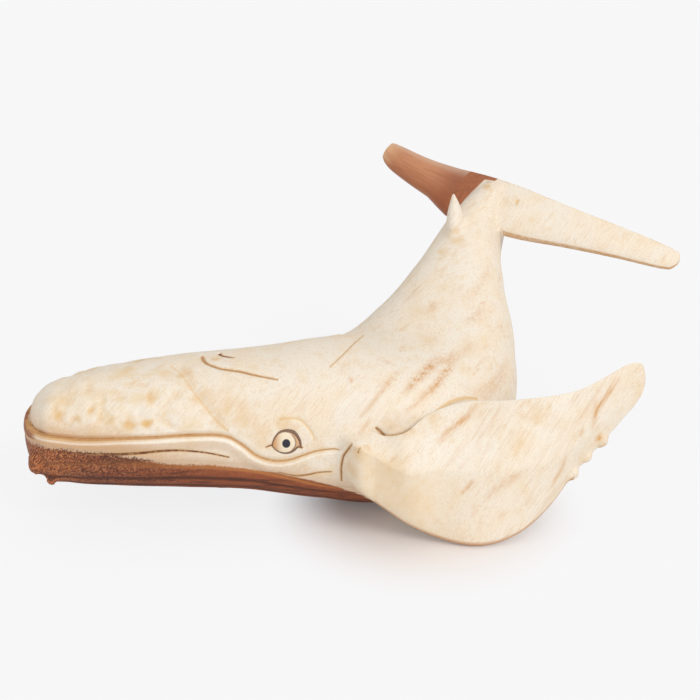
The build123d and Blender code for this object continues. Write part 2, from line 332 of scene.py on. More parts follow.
# The root of the flukes
# The tail stock ends in a thick root across it, carved from the body's own block, with a flat
# seam on each side for a fluke. The flukes rise from it, and sag towards their tips.
FLUKE_LENGTH = 0.158
FLUKE_CHORD = 0.060
FLUKE_THICKNESS = 0.021
FLUKE_YAW, FLUKE_PITCH, FLUKE_ROLL = 36.0, 40.0, -8.0
NOTCH_SETBACK = 0.013
fluke_seats = {
    "left": dict(side=-1, droop=0.053, droop_power=1.9, length_share=1.06, front_share=1.0),
    "right": dict(side=1, droop=0.023, droop_power=1.25, length_share=0.91, front_share=0.74),
}
# Sections from the middle of the tail to a tip: place in shares of FLUKE_LENGTH, front and rear
# edge in shares of FLUKE_CHORD, thickness
fluke_shares = np.array((
    (0.000, -0.53, 0.330, 0.90),
    (0.205, -0.50, 0.335, 0.76),
    (0.285, -0.46, 0.335, 0.68),
    (0.354, -0.41, 0.345, 0.62),
    (0.505, -0.27, 0.375, 0.54),
    (0.657, -0.12, 0.430, 0.48),
    (0.808, 0.04, 0.500, 0.41),
    (0.909, 0.15, 0.545, 0.36),
    (0.960, 0.22, 0.560, 0.32),
    (0.988, 0.29, 0.545, 0.25),
    (1.000, 0.38, 0.480, 0.12),
))
fluke_at = smooth_rows(fluke_shares[:, 0], fluke_shares[:, 1:])
FLUKE_SEAM = fluke_shares[1, 0]
SLIM_RUN = 0.2  # share of the length over which a fluke's front edge draws in from the seam and tip


def fluke_rings(seat, outs):
    """Rings of one fluke, square to its length, sagging towards its tip."""
    yaw, pitch, roll = (math.radians(a) for a in (FLUKE_YAW, FLUKE_PITCH, FLUKE_ROLL))
    level = np.array((math.sin(yaw), -math.cos(yaw), 0.0))
    flat = math.cos(pitch)
    rear = np.array((math.cos(yaw) * flat, math.sin(yaw) * flat, math.sin(pitch)))
    square = -np.cross(rear, level)
    top = square * math.cos(roll) - level * math.sin(roll)
    out = (level * math.cos(roll) + square * math.sin(roll)) * -seat["side"]
    middle = spine_rows[-1] - rear * NOTCH_SETBACK
    rings = []
    for at, (front, back, thick) in zip(outs, fluke_at(outs)):
        long = 1 + (seat["length_share"] - 1) * (at - FLUKE_SEAM) / (1 - FLUKE_SEAM)
        root = middle + out * at * long * FLUKE_LENGTH - top * seat["droop"] * at ** seat["droop_power"]
        slimmed = min(max((at - FLUKE_SEAM) / SLIM_RUN, 0), (1 - at) / SLIM_RUN, 1)
        slim = 1 + (seat["front_share"] - 1) * slimmed
        edges = (root + rear * front * slim * FLUKE_CHORD, root + rear * back * FLUKE_CHORD)
        rings.append(blade_ring(*edges, top, thick * FLUKE_THICKNESS))
    return np.stack(rings)


halves = [fluke_rings(seat, paced(((0.0, 0), (FLUKE_SEAM, 0.009)))) for seat in fluke_seats.values()]
tail_root = closed_shell("tail_root", np.concatenate([halves[0][::-1], halves[1][1:]]))

# Knobs, lumps and the dorsal fin
# Two rounded knobs stand on each side of the chin, two small lumps over the notch of the tail,
# and a little hooked fin on the tail stock. All of them are left standing in the body's block.
CHIN_KNOBS_px = ((38.0, 462.0, 11.5), (52.0, 477.0, 7.0))  # middle and radius
TAIL_LUMPS_px = ((489.0, 184.0, 3.2), (497.0, 182.5, 3.0))
PIXEL = 0.00078  # width of wood that a pixel of the photograph shows
KNOB_DEPTH = 0.0035  # how far a knob's middle lies behind the skin


def ball(name, middle, radius, stretch=(1, 1, 1)):
    """A small rounded knob."""
    shape = bmesh.new()
    bmesh.ops.create_icosphere(shape, subdivisions=3, radius=radius)
    bmesh.ops.scale(shape, vec=stretch, verts=shape.verts)
    bmesh.ops.translate(shape, vec=middle, verts=shape.verts)
    mesh = bpy.data.meshes.new(name)
    shape.to_mesh(mesh)
    shape.free()
    return set_down(name, mesh)


def on_skin(pixels, skin=trunk_skin):
    """The points of the skin that a row of pixels shows."""
    spots = [skin.ray_cast(*sight(pixel))[0] for pixel in pixels]
    return np.array([spot[:] for spot in spots if spot is not None])


def other_side(points):
    """The same places on the whale's right side, across its spine."""
    places = np.linspace(0, TRUNK_END, 600)
    middle, _, left, _ = body_frames(places)
    mirrored = []
    for point in points:
        k = np.argmin(lengths(middle - point))
        mirrored.append(point - 2 * left[k] * (point - middle[k]).dot(left[k]))
    return np.array(mirrored)


def beside(pixel, skin):
    """The place on a pixel's line of sight that is nearest to a skin."""
    start, ray = sight(pixel)
    hit = skin.ray_cast(start, ray)[0]
    if hit is not None:
        return np.array(hit + ray * KNOB_DEPTH)[None]
    place = start + ray * VIEW_DISTANCE
    for _ in range(12):
        place = start + ray * (skin.find_nearest(place)[0] - start).dot(ray)
    return np.array(place)[None]


knobs = []
for x, y, radius in CHIN_KNOBS_px:
    spot = beside((x, y), trunk_skin)
    for middle in (spot[0], other_side(spot)[0]):
        knobs.append(ball("chin_knob", middle, radius * PIXEL, (0.85, 1.0, 1.15)))
tail_skin = skin_of(tail_root)
for x, y, radius in TAIL_LUMPS_px:
    knobs.append(ball("tail_lump", beside((x, y), tail_skin)[0], radius * PIXEL))

DORSAL_BASE_px = (456, 226)
DORSAL_TIP_px = (453, 196)
DORSAL_HALF_LENGTH = 0.0150
DORSAL_HALF_WIDTH = 0.0072
DORSAL_HOOK = 0.004
DORSAL_POWER = 2.4  # how long the fin keeps its fullness towards the tip
DORSAL_BLUNT = 0.16  # share of its size that is left at the tip
DORSAL_SUNK = 0.35  # how far it goes on under the skin, in shares of its height
DORSAL_RINGS = 18
DORSAL_AROUND = 28
DORSAL_ROWS = (11.4, 11.9)  # rows of the trunk's table in front of it and behind it
base = on_skin((DORSAL_BASE_px,))[0]
start, ray = sight(DORSAL_TIP_px)
tip = np.array(start + ray * (Vector(base) - start).dot(ray) / ray.dot(ray))
ahead, behind = (spine_at(row_place(row))[0] for row in DORSAL_ROWS)
rear = behind - ahead
rear /= np.linalg.norm(rear)
up = tip - base
left = np.cross(up, rear)
left /= np.linalg.norm(left)
turns = np.linspace(0, 2 * math.pi, DORSAL_AROUND, endpoint=False)
rings = []
for rise in np.linspace(-DORSAL_SUNK, 1, DORSAL_RINGS):
    full = limited(1 - limited(rise) ** DORSAL_POWER) * (1 - DORSAL_BLUNT) + DORSAL_BLUNT
    middle = base + up * rise - rear * DORSAL_HOOK * 4 * rise * (1 - rise) * (rise > 0)
    across = left[None] * (np.sin(turns) * full * DORSAL_HALF_WIDTH)[:, None]
    rings.append(middle + across + rear[None] * (np.cos(turns) * full * DORSAL_HALF_LENGTH)[:, None])
dorsal = closed_shell("dorsal_fin", np.stack(rings))


def unite(base, parts):
    """One closed skin round the base and its parts, which are used up."""
    for part in parts:
        join = base.modifiers.new("join", "BOOLEAN")
        join.operation = "UNION"
        join.solver = "MANIFOLD"
        join.object = part
    graph = bpy.context.evaluated_depsgraph_get()
    mesh = bpy.data.meshes.new_from_object(base.evaluated_get(graph))
    base.modifiers.clear()
    base.data = mesh
    for part in parts:
        bpy.data.objects.remove(part)


# What grows out of the trunk, with the width of the hollow that is carved over its join
joined = [(part, 0.010) for part in shoulders] + [(tail_root, 0.008), (dorsal, 0.006)]
joined += [(part, 0.003) for part in knobs]
join_skins = [(skin_of(part), reach) for part, reach in joined]
unite(trunk, [part for part, _ in joined])
body = trunk
body.name = "carved_body"


def read_out(rows, name, kind=float, width=3):
    """An array of what each row of a mesh holds under a name."""
    flat = np.empty(len(rows) * width, kind)
    rows.foreach_get(name, flat)
    return flat.reshape(-1, width)


def points_of(mesh):
    return read_out(mesh.vertices, "co")


def normals_of(mesh):
    return read_out(mesh.vertex_normals, "vector")


def move_points(mesh, points):
    mesh.vertices.foreach_set("co", points.ravel())
    mesh.update()


RELAX_STRIDE = 0.7  # share of the way that a point goes in each round


def relax(mesh, weight, rounds):
    """Smooths a mesh by moving points towards their neighbours, as far as their weight."""
    pairs = read_out(mesh.edges, "vertices", int, 2)
    busy = weight > 0.001
    pairs = pairs[busy[pairs].any(axis=1)]
    count = np.zeros(len(weight))
    np.add.at(count, pairs.ravel(), 1)
    points = points_of(mesh)
    for _ in range(rounds):
        total = np.zeros_like(points)
        np.add.at(total, pairs[:, 0], points[pairs[:, 1]])
        np.add.at(total, pairs[:, 1], points[pairs[:, 0]])
        mean = total[busy] / count[busy, None]
        points[busy] += (mean - points[busy]) * weight[busy, None] * RELAX_STRIDE
    move_points(mesh, points)


def tree_of(places):
    """A tree that finds the nearest of some places."""
    tree = KDTree(len(places))
    for k, place in enumerate(places):
        tree.insert(place, k)
    tree.balance()
    return tree


# The joins of shoulders, fin and tail are carved over, so the skin flows from one to the next.
# The seams that fins and flukes are glued to stay as they were cut, and the nose is rubbed round.
JOIN_ROUNDS = 40
JOIN_POWER = 0.7
JOIN_MARGIN = 1.2  # how much further than its reach a join is looked for
SEAM_MARGIN = 0.0012
SEAM_RUN = 0.006
NOSE_RUB = 0.4
NOSE_END = 0.004
NOSE_RUN = 0.003
points = points_of(body.data)
near_join = np.zeros(len(points))
for skin, reach in join_skins:
    for k, point in enumerate(points):
        where, _, _, gap = skin.find_nearest(point, reach * JOIN_MARGIN)
        if where is None:
            continue
        bare = trunk_skin.find_nearest(point, reach * JOIN_MARGIN)
        if bare[0] is None:
            continue
        near = 1 - max(gap, bare[3]) / reach
        near_join[k] = max(near_join[k], near)
near_join = limited(near_join)
seams = [fin_rings(seat, np.array([0.0]))[0] for seat in fin_seats.values()]
seams += [fluke_rings(seat, np.array([FLUKE_SEAM]))[0] for seat in fluke_seats.values()]
seam_tree = tree_of(np.vstack(seams))
seam_gap = np.array([seam_tree.find(point)[2] for point in points])
near_join *= limited((seam_gap - SEAM_MARGIN) / SEAM_RUN)
SNOUT_TIP = spine_rows[0][0]
nose = limited((SNOUT_TIP + NOSE_END - points[:, 0]) / NOSE_RUN) * NOSE_RUB
relax(body.data, np.maximum(near_join**JOIN_POWER, nose), JOIN_ROUNDS)


def refine(mesh, places, reach, longest):
    """Splits the long edges near some places, where a narrow line is to be cut."""
    tree = tree_of(places)
    shape = bmesh.new()
    shape.from_mesh(mesh)
    for _ in range(2):
        near = {v for v in shape.verts if tree.find(v.co)[2] < reach}
        edges = [e for e in shape.edges if near.issuperset(e.verts) and e.calc_length() > longest]
        bmesh.ops.subdivide_edges(shape, edges=edges, cuts=1, use_grid_fill=True)
        bmesh.ops.triangulate(shape, faces=[f for f in shape.faces if len(f.verts) > 4])
    shape.to_mesh(mesh)
    shape.free()

# The knife lines
# Brow groove, blowhole, folds and cracks are cut with a small gouge and a knife. The deep cuts
# are coloured dark, and the shallow folds a yellow tan.
JAW_CRACK_px = (
    (50, 450), (76, 453.5), (110, 454.6), (145, 452.8), (160, 451.2), (176, 450.5), (191, 451.2),
    (206, 452.8), (230, 457.5),
)
CORNER_CUT_px = ((277, 471.7), (298, 476.2), (308, 475), (317, 473), (333, 471.5))
BROW_GROOVE_px = (
    (202, 355.6), (203.5, 360), (207, 363.3), (213, 365.8), (220, 368.2), (229, 369.6), (239, 371),
    (250, 373.8), (262, 376.5), (279, 380),
)
BLOWHOLE_px = ((219, 352.5), (221.5, 355), (224, 355.6), (236, 358))
EYE_FRONT_px = ((272, 445.2), (269, 446), (264, 448.4))
EYE_BACK_px = ((296, 445), (300, 447), (304, 448.6))
ROSTRUM_STEP_px = (
    (170, 365), (178, 370), (185, 378.5), (192, 389), (200, 400), (207, 409), (216, 420), (229, 432),
)
BROW_ARC_px = (
    (279, 419.5), (285, 418.6), (290, 418.2), (296, 418.6), (302, 421), (307, 426), (311.5, 432.5),
    (314.5, 438), (314, 442),
)
SHOULDER_CUT_px = ((353, 443), (347.5, 449.5), (343, 456), (341.2, 464), (340.8, 473), (341.8, 482))
SHOULDER_NICK_px = ((361, 447), (357, 454.5))
FIN_NOTCH_px = ((375, 426.8), (380, 431.5), (385.5, 437.5))
FIN_FOLD_px = (
    (385, 436), (395, 435), (404, 433), (412, 429.5), (420, 425), (432, 415.5), (442, 407.2),
    (452, 401.5), (465, 398.2), (478, 399),
)
BACK_CRACK_px = ((329, 368), (340, 357.6), (353, 344.6), (364, 334.6))
TAIL_VALLEY_px = ((518, 199), (514, 214), (512, 232))
# Lines of both flanks, which the left one shows, then lines of the left flank alone: kind, pixels,
# half width, depth, width of the hollow, how its two ends fade, darkness
BOTH_FLANKS = (
    ("cut", JAW_CRACK_px, 0.0010, 0.0004, 0.0020, (0.35, 0.55), 1.0),
    ("cut", CORNER_CUT_px, 0.0007, 0.0005, 0.0020, (0.4, 0.5), 0.5),
    ("cut", BROW_GROOVE_px, 0.0010, 0.0010, 0.0026, (0.05, 0.45), 0.25),
    ("cut", EYE_FRONT_px, 0.0005, 0.0003, 0.0014, (0.01, 0.7), 0.7),
    ("cut", EYE_BACK_px, 0.0010, 0.0003, 0.0016, (0.01, 0.8), 0.9),
    ("crease", ROSTRUM_STEP_px, -0.0005, 0.0016, 0.0070, (0.1, 0.2), 0),
    ("crease", BROW_ARC_px, -0.0002, 0.0008, 0.0026, (0.5, 0.1), 0),
)
LEFT_FLANK = (
    ("cut", BLOWHOLE_px, 0.0010, 0.0012, 0.0024, (0.02, 0.5), 0.9),
    ("cut", BACK_CRACK_px, 0.0001, 0.0001, 0.0014, (0.3, 0.2), 0.1),
    ("cut", SHOULDER_CUT_px, 0.0007, 0.0011, 0.0022, (0.05, 0.25), 0.5),
    ("cut", FIN_NOTCH_px, 0.0008, 0.0009, 0.0024, (0.2, 0.02), 0.4),
    ("cut", SHOULDER_NICK_px, 0.0006, 0.0003, 0.0016, (0.3, 0.3), 0.5),
    ("crease", FIN_FOLD_px, 0.0006, -0.0013, 0.0055, (0.1, 0.2), 0),
    ("crease", TAIL_VALLEY_px, 0.0010, 0.0007, 0.0040, (0.2, 0.2), 0),
)
UNMARKED = 0.02  # gap of a point that lies by no line
LINE_REACH = 0.0026
LINE_END = 0.35  # share of a line's width that is left at its ends
FINE_REACH = 0.0045  # how far round a line the mesh is made finer, and its longest edge there
FINE_EDGE = 0.0011
SIGHT_SLACK = 0.003  # how far behind the skin a point still counts as seen


def in_view(points):
    """Which points of the trunk the camera sees."""
    seen = []
    for point in points:
        ray = Vector(point) - camera.location
        hit = trunk_skin.ray_cast(camera.location, ray.normalized())[3]
        seen.append(hit is None or hit > ray.length - SIGHT_SLACK)
    return np.array(seen)


def drawn_out(points, spacing=0.0007):
    """A smooth path through a few points."""
    reach = np.concatenate([[0], np.cumsum(lengths(np.diff(points, axis=0)))])
    return smooth_rows(reach, points)(np.linspace(0, reach[-1], int(reach[-1] / spacing) + 2))


def path_gap(points, normals, path, flip=1):
    """Distance from a path, positive on its upper side, and the share of the path at that place."""
    gap, share = np.full(len(points), 1.0), np.zeros(len(points))
    low, high = path.min(axis=0) - 0.03, path.max(axis=0) + 0.03
    near = np.flatnonzero(((points > low) & (points < high)).all(axis=1))
    if len(near) == 0:
        return gap, share
    apart = np.linalg.norm(points[near, None] - path[None], axis=2)
    k = apart.argmin(axis=1)
    run = np.gradient(path, axis=0)
    run /= lengths(run)[:, None]
    off = points[near] - path[k]
    inner = (k > 0) & (k < len(path) - 1)
    off = off - run[k] * (off * run[k]).sum(axis=1)[:, None] * inner[:, None]
    above = (np.cross(normals[near], run[k]) * off).sum(axis=1) * flip
    gap[near] = lengths(off) * np.where(above < 0, -1, 1)
    share[near] = k / (len(path) - 1)
    return gap, share


def groove(gap, half):
    """The hollow of a gouge cut: 1 in its middle and 0 at its edges."""
    return limited(1 - (gap / half) ** 2) ** 2


body_skin = skin_of(body)
fine_places = []
for pixels in (
    BROW_GROOVE_px, ROSTRUM_STEP_px, BROW_ARC_px, JAW_CRACK_px, CORNER_CUT_px, SHOULDER_CUT_px,
):
    spots = on_skin(pixels)
    fine_places += [drawn_out(spots), drawn_out(other_side(spots))]
for pixels in (BLOWHOLE_px, BACK_CRACK_px, FIN_NOTCH_px, SHOULDER_NICK_px, FIN_FOLD_px, TAIL_VALLEY_px):
    fine_places.append(drawn_out(on_skin(pixels, body_skin)))
refine(body.data, np.vstack(fine_places), FINE_REACH, FINE_EDGE)
points = points_of(body.data)
normals = normals_of(body.data)
marks = {"cut_dark": np.zeros(len(points))}
for kind in ("cut", "crease"):
    marks[kind] = np.full(len(points), UNMARKED)
    marks[kind + "_half"] = np.full(len(points), -UNMARKED)
push = np.zeros(len(points))


def cut_line(kind, path, half, depth, width, fade, dark, flip=1):
    """Marks a line for the material and hollows the wood along it."""
    gap, share = path_gap(points, normals, path, flip)
    start, end = (max(part, 1e-6) for part in fade)
    ends = limited(np.minimum(share / start, (1 - share) / end))
    here = half * (LINE_END + (1 - LINE_END) * ends) * (ends > 0) - 0.004 * (ends <= 0)
    here = np.where(np.abs(gap) > LINE_REACH, -0.01, here)
    nearer = here - np.abs(gap) > marks[kind + "_half"] - np.abs(marks[kind])
    marks[kind][nearer] = gap[nearer]
    marks[kind + "_half"][nearer] = here[nearer]
    if kind == "cut":
        marks["cut_dark"][nearer] = dark
    push[:] -= depth * groove(gap, width) * ends
    return gap, share


for kind, pixels, *sizes in BOTH_FLANKS:
    spots = on_skin(pixels)
    cut_line(kind, drawn_out(spots), *sizes)
    mirrored = other_side(spots)
    mirrored = mirrored[~in_view(mirrored)]
    if len(mirrored) > 2:
        cut_line(kind, drawn_out(mirrored), *sizes, flip=-1)
for kind, pixels, *sizes in LEFT_FLANK:
    cut_line(kind, drawn_out(on_skin(pixels, body_skin)), *sizes)

# The mouth
# One long cut that runs round the snout. The lower lip stands proud of it, and the upper jaw
# steps back above it.
MOUTH_px = (
    (31, 430), (39, 434), (52, 437), (74, 439.5), (92, 440), (122, 439), (153, 438), (176, 436.3),
    (199, 435.3), (219, 435.6), (229, 437.5), (238, 442.3), (246, 448), (254, 454.5), (263, 458.7),
    (277, 461.4), (289, 460.3), (302, 456), (315, 451.6), (333, 449), (345, 449),
)
MOUTH_CUT = (0.0007, 0.0, 0.003, (0, 0.3), 0.12)  # as in the tables above
MOUTH_FADE = 0.2  # share of the mouth's length over which it fades at the corner
MOUTH_HOLLOW = 0.0016
HOLLOW_MIDDLE = 0.0006  # above the cut
HOLLOW_WIDTH = 0.0028
LIP_PROUD = 0.0014
LIP_HEIGHT = 0.0042
JAW_STEP = 0.0030
STEP_RUN = 0.022
FRONT_RUN = 0.16  # length of the snout that has a deeper step
BROWN_RUN = 0.016  # length of the front lip that is brown, with its middle and half width
BROWN_MIDDLE = 0.0022
BROWN_HALF = 0.0032
mouth = on_skin(MOUTH_px)
snout = np.array((SNOUT_TIP - 0.0008, 0.0, mouth[0][2] + 0.0005))
left_mouth = drawn_out(np.vstack([snout, mouth]))
right_mouth = drawn_out(np.vstack([snout, other_side(mouth)]))
lip_left, share_left = cut_line("cut", left_mouth, *MOUTH_CUT)
lip_right, share_right = cut_line("cut", right_mouth, *MOUTH_CUT, flip=-1)
is_left = np.abs(lip_left) < np.abs(lip_right)
lip = np.where(is_left, lip_left, lip_right)
end = limited((1 - np.where(is_left, share_left, share_right)) / MOUTH_FADE)
push -= MOUTH_HOLLOW * groove(lip - HOLLOW_MIDDLE, HOLLOW_WIDTH) * end
push += LIP_PROUD * np.exp(-(((lip + LIP_HEIGHT) / LIP_HEIGHT) ** 2)) * end * (lip > -0.03)
front = limited(1 - (points[:, 0] - SNOUT_TIP) / FRONT_RUN)
step_back = np.exp(-limited(lip) / STEP_RUN) * (lip > 0) * (lip < 0.9)
push -= JAW_STEP * (0.25 + 0.75 * front) * step_back * end * limited(front * 8)
lip_band = np.abs(lip + BROWN_MIDDLE) < BROWN_HALF
front_lip = limited(1 - (points[:, 0] - SNOUT_TIP) / BROWN_RUN) * lip_band

# The throat's pleats
# Round-bottomed grooves that run back from the chin under the lower jaw. The photograph shows two
# of them, and the others are spread evenly from there to the middle of the throat.
PLEAT_LINES_px = (
    ((40, 462), (58, 465.5), (92, 465.2), (122, 465.2), (153, 465.4), (183, 465.2), (214, 465.6),
     (237, 468), (255, 471), (277, 475.5), (300, 481), (329, 487.5)),
    ((60, 477.5), (73, 478.2), (107, 478.8), (153, 478.8), (199, 478.8), (229, 479.2), (255, 482),
     (284, 486.5), (316, 490.5), (340, 494)),
)
PLEATS_BELOW = 4.5  # from the lower line to the middle of the throat
PLEAT_DEPTH = 0.0010
PLEAT_END = 0.275
trunk_tree = tree_of(rings_of_trunk.reshape(-1, 3))


def place_and_angle(spots):
    """Where spots lie on the trunk: place along its spine and degrees round it."""
    nearest = np.array([trunk_tree.find(spot)[1] for spot in spots])
    return ring_places[nearest // len(ring_degrees)], ring_degrees[nearest % len(ring_degrees)]


place, angle = place_and_angle(points)
down = np.where(angle > 90, 180 - angle, angle)
upper, lower = (np.interp(place, *place_and_angle(on_skin(pixels))) for pixels in PLEAT_LINES_px)
pleat_above = 1 + (upper - down) / (upper - lower).clip(1.0)
pleat_below = 2 + (lower - down) / (lower + 90) * PLEATS_BELOW
pleat = np.where(down > lower, pleat_above, pleat_below)
pleat_show = limited((1 - place / PLEAT_END) * 4) * limited((pleat - 0.5) * 4)
pleat_show *= limited(place / 0.02)
push -= PLEAT_DEPTH * limited(np.cos(2 * math.pi * pleat) * 0.5 + 0.5) ** 3 * pleat_show

# Lumps and shallow gouge cuts of the upper jaw
# The gouge left low lumps all over the upper jaw and some round dents, which hold more wax.
LUMP_HEIGHT = 0.0008
LUMP_FINENESS = (62.0, 130.0)
LUMP_END = 0.008  # how fast the lumps fade at the step behind the upper jaw and above the lip
LUMP_LIP = 0.006
DENT_DEPTH = 0.0009
DENT_RAGGED = (0.9, 170.0)  # strength and fineness of their uneven edges
DENTS_px = (  # middle and size
    (57, 415, 9), (76, 417, 5), (91, 409, 4), (127, 425, 9), (146, 424, 6), (152, 397, 7), (175, 394, 6),
    (66, 398, 8), (104, 414, 7), (118, 396, 8), (88, 388, 7), (137, 382, 7), (163, 418, 6),
)


def unevenness(points, fineness):
    """Smooth noise at each point, from about -1 to 1."""
    return np.array([noise.noise(Vector(point) * fineness) for point in points])


step_place = on_skin(ROSTRUM_STEP_px)
jaw_end = np.interp(points[:, 2], step_place[::-1, 2], step_place[::-1, 0])
upper_jaw = limited((jaw_end - points[:, 0]) / LUMP_END) * limited(lip / LUMP_LIP)
coarse, fine = (unevenness(points, fineness) for fineness in LUMP_FINENESS)
push += LUMP_HEIGHT * (coarse + 0.5 * fine) * upper_jaw
dent = np.zeros(len(points))
uneven = 1 + DENT_RAGGED[0] * unevenness(points, DENT_RAGGED[1])
for x, y, size in DENTS_px:
    spot = on_skin(((x, y),))
    for middle in (spot[0], other_side(spot)[0]):
        reach = lengths(points - middle) / (size * PIXEL) * uneven
        push -= DENT_DEPTH * np.exp(-(reach**2))
        dent = np.maximum(dent, np.exp(-((reach / 0.95) ** 4)))

# The eyes
# An almond is cut round a low dome, with a soft hollow outside the cut. White, tan and a dark
# pupil are painted on the dome.
EYE_CORNERS_px = ((272, 446.3), (301, 446.7))
EYE_TOP_px = (288.5, 430.8)
EYE_DOME = 0.0011
EYE_HOLLOW = 0.0007
EYE_BELOW = 0.44  # height under the corners, in shares of the height above them
EYE_REACH = 0.03
corners = on_skin(EYE_CORNERS_px)
eye_top = on_skin((EYE_TOP_px,))
eye_map = np.ones((len(points), 3))
for ends, top in ((corners, eye_top[0]), (other_side(corners), other_side(eye_top)[0])):
    middle = ends.mean(axis=0)
    half = np.linalg.norm(ends[1] - ends[0]) / 2
    along = (ends[1] - ends[0]) / (2 * half)
    high = top - middle
    high -= along * high.dot(along)
    tall = np.linalg.norm(high)
    near = lengths(points - middle) < EYE_REACH
    off = points[near] - middle
    eye_map[near, 0] = off @ along / half
    eye_map[near, 1] = off @ (high / tall) / tall
    eye_map[near, 2] = 0
wide, up_share = eye_map[:, 0], eye_map[:, 1]
lid_above = up_share.clip(0) ** 1.6 + np.abs(wide) ** 2.5
lid_below = -up_share / EYE_BELOW + np.abs((wide + 0.1) / 0.9) ** 2.2
lid = np.where(up_share > 0, lid_above, lid_below)
push += EYE_DOME * np.sqrt(limited(1 - lid) * (np.abs(wide) < 1))
push -= EYE_HOLLOW * np.exp(-(((lid - 1.06) / 0.14) ** 2)) * (np.abs(wide) < 1.15)

# Heartwood
# The log's reddish brown core shows under the jaw, along the belly and at the root of the right
# fluke, wherever the carving went deep enough.
HEARTWOOD_px = (
    (27, 435), (36, 440.5), (52, 444.5), (76, 447.5), (107, 450.5), (130, 454), (150, 458.5),
    (165, 462.5), (183, 464.3), (214, 465), (237, 467.5), (255, 470.5), (277, 473), (298, 477.5),
    (311, 480), (325, 483.5), (340, 488), (355, 492), (371, 499.5),
)
TAIL_ABOVE = 0.15  # everything higher belongs to the tail
HEART_PROUD = 0.0012  # how far past the trunk's own skin the tail's heartwood starts
BEHIND_CHEST = 0.03  # where the belly starts to hide its heartwood
edge = on_skin(HEARTWOOD_px)
order = edge[:, 0].argsort()
heart = np.interp(points[:, 0], edge[order, 0], edge[order, 2]) - points[:, 2]
heart -= limited(points[:, 0] - edge[:, 0].max()) * 0.5
level_out = np.array((math.sin(math.radians(FLUKE_YAW)), -math.cos(math.radians(FLUKE_YAW)), 0.0))
beyond = (points - spine_rows[-1]) @ -level_out
far = np.array([trunk_skin.find_nearest(point)[3] if out > 0 and point[0] > 0.08 else 0.0
                for point, out in zip(points, beyond)])
heart = np.maximum(heart, np.where((points[:, 2] > TAIL_ABOVE) & (beyond > 0), far - HEART_PROUD, -1))
behind = (points[:, 0] > BEHIND_CHEST) & (points[:, 2] < 0.12)
heart = np.where(behind, np.minimum(heart, 0.02 - points[:, 0] * 0.4), heart)

# Streaks and stains
# Long tan streaks follow the log's grain over the flank, a few pixels on the way of each, and
# round yellow stains lie where wax gathered.
STREAKS_px = (  # a few pixels on the way, half width in pixels, strength
    (((401, 369), (387, 384), (377, 397), (367, 410), (360, 419)), 2.0, 0.60),
    (((442, 355), (429, 366.5), (421.5, 375.5), (414, 382), (406, 391), (401, 395)), 2.8, 0.85),
    (((462, 351), (452, 363), (444.5, 374), (434.5, 387), (424, 396), (414, 405)), 2.8, 0.75),
    (((473, 340), (461, 352.5), (448.5, 357.5), (432, 370.5), (424, 379)), 2.4, 0.50),
    (((506, 370), (493, 389.5), (484, 399)), 3.2, 0.40),
    (((484, 306.5), (475, 316.5), (462, 324.5)), 2.6, 0.45),
    (((439.5, 301.5), (429.5, 309), (424, 315.5)), 2.6, 0.45),
    (((487, 357.5), (474, 369)), 0.9, 0.40),
    (((509, 357.5), (499.5, 374), (487, 387), (470, 394.5)), 3.4, 0.35),
    (((348, 378.5), (354, 381.3)), 1.2, 0.55),
    (((372, 417), (364, 427), (358, 436)), 1.6, 0.45),
    (((426, 395), (412.5, 406.5), (404, 413)), 1.8, 0.35),
    (((492, 262), (480, 285), (466, 303)), 3.0, 0.25),
    (((356, 448), (353, 453)), 1.0, 0.50),
)
STAINS_px = (  # middle, half width, strength
    (228, 405, 14, 0.45), (245, 420, 14, 0.45), (262, 433, 10, 0.35), (222, 425, 9, 0.40),
    (127, 425, 6, 1.0), (147, 424, 4.5, 1.0), (57, 415, 4.5, 0.9), (76, 417, 3, 0.8),
    (91, 409, 3, 0.9), (152, 397, 5, 0.7),
    (284, 425, 9, 0.5), (213, 399, 10, 0.5), (186, 371, 8, 0.6), (190, 384, 7, 0.40),
    (200, 396, 8, 0.45), (209, 409, 8, 0.45), (218, 419, 8, 0.40),
    (458, 240, 9, 0.45), (487, 186, 6, 0.7), (456, 231, 5, 0.45), (443, 252, 6, 0.5), (216, 359, 4, 0.8),
    (352, 470, 9, 0.5), (361, 455, 8, 0.6), (316, 446, 10, 0.3), (262, 440, 8, 0.3), (300, 462, 9, 0.3),
    (126, 372, 9, 0.35), (165, 374, 9, 0.4), (60, 440, 10, 0.3), (110, 431, 12, 0.35), (95, 432, 9, 0.3),
    (390, 425, 9, 0.4), (470, 350, 12, 0.3), (430, 340, 12, 0.25), (345, 365, 10, 0.2),
)

STREAK_FADE = 0.3  # share of a streak's length over which each end fades, and what is left there
STREAK_END = 0.2
STREAK_SOFT = 1.3
STAIN_RAGGED = (0.8, 190.0)  # strength and fineness of the stains' uneven edges
STAIN_POWER = 2.6


def strokes(points, normals, table, skin):
    """How strongly each point lies in the strokes of a table."""
    share = np.zeros(len(points))
    for pixels, half, strength in table:
        path = on_skin(pixels, skin)
        if len(path) < 2:
            continue
        gap, along = path_gap(points, normals, drawn_out(path))
        ends = limited(np.minimum(along, 1 - along) / STREAK_FADE) * (1 - STREAK_END) + STREAK_END
        ends *= (along > 0.001) & (along < 0.999)
        streak = np.exp(-((gap / (half * PIXEL * STREAK_SOFT)) ** 2))
        share = np.maximum(share, strength * ends * streak)
    return share


def patches(points, table, skin):
    """How strongly each point lies in the round stains of a table, which have ragged edges."""
    share = np.zeros(len(points))
    ragged = 1 + STAIN_RAGGED[0] * unevenness(points, STAIN_RAGGED[1])
    for x, y, half, strength in table:
        for spot in on_skin(((x, y),), skin):
            reach = lengths(points - spot) / (half * PIXEL) * ragged
            share = np.maximum(share, strength * np.exp(-(reach**STAIN_POWER)))
    return share
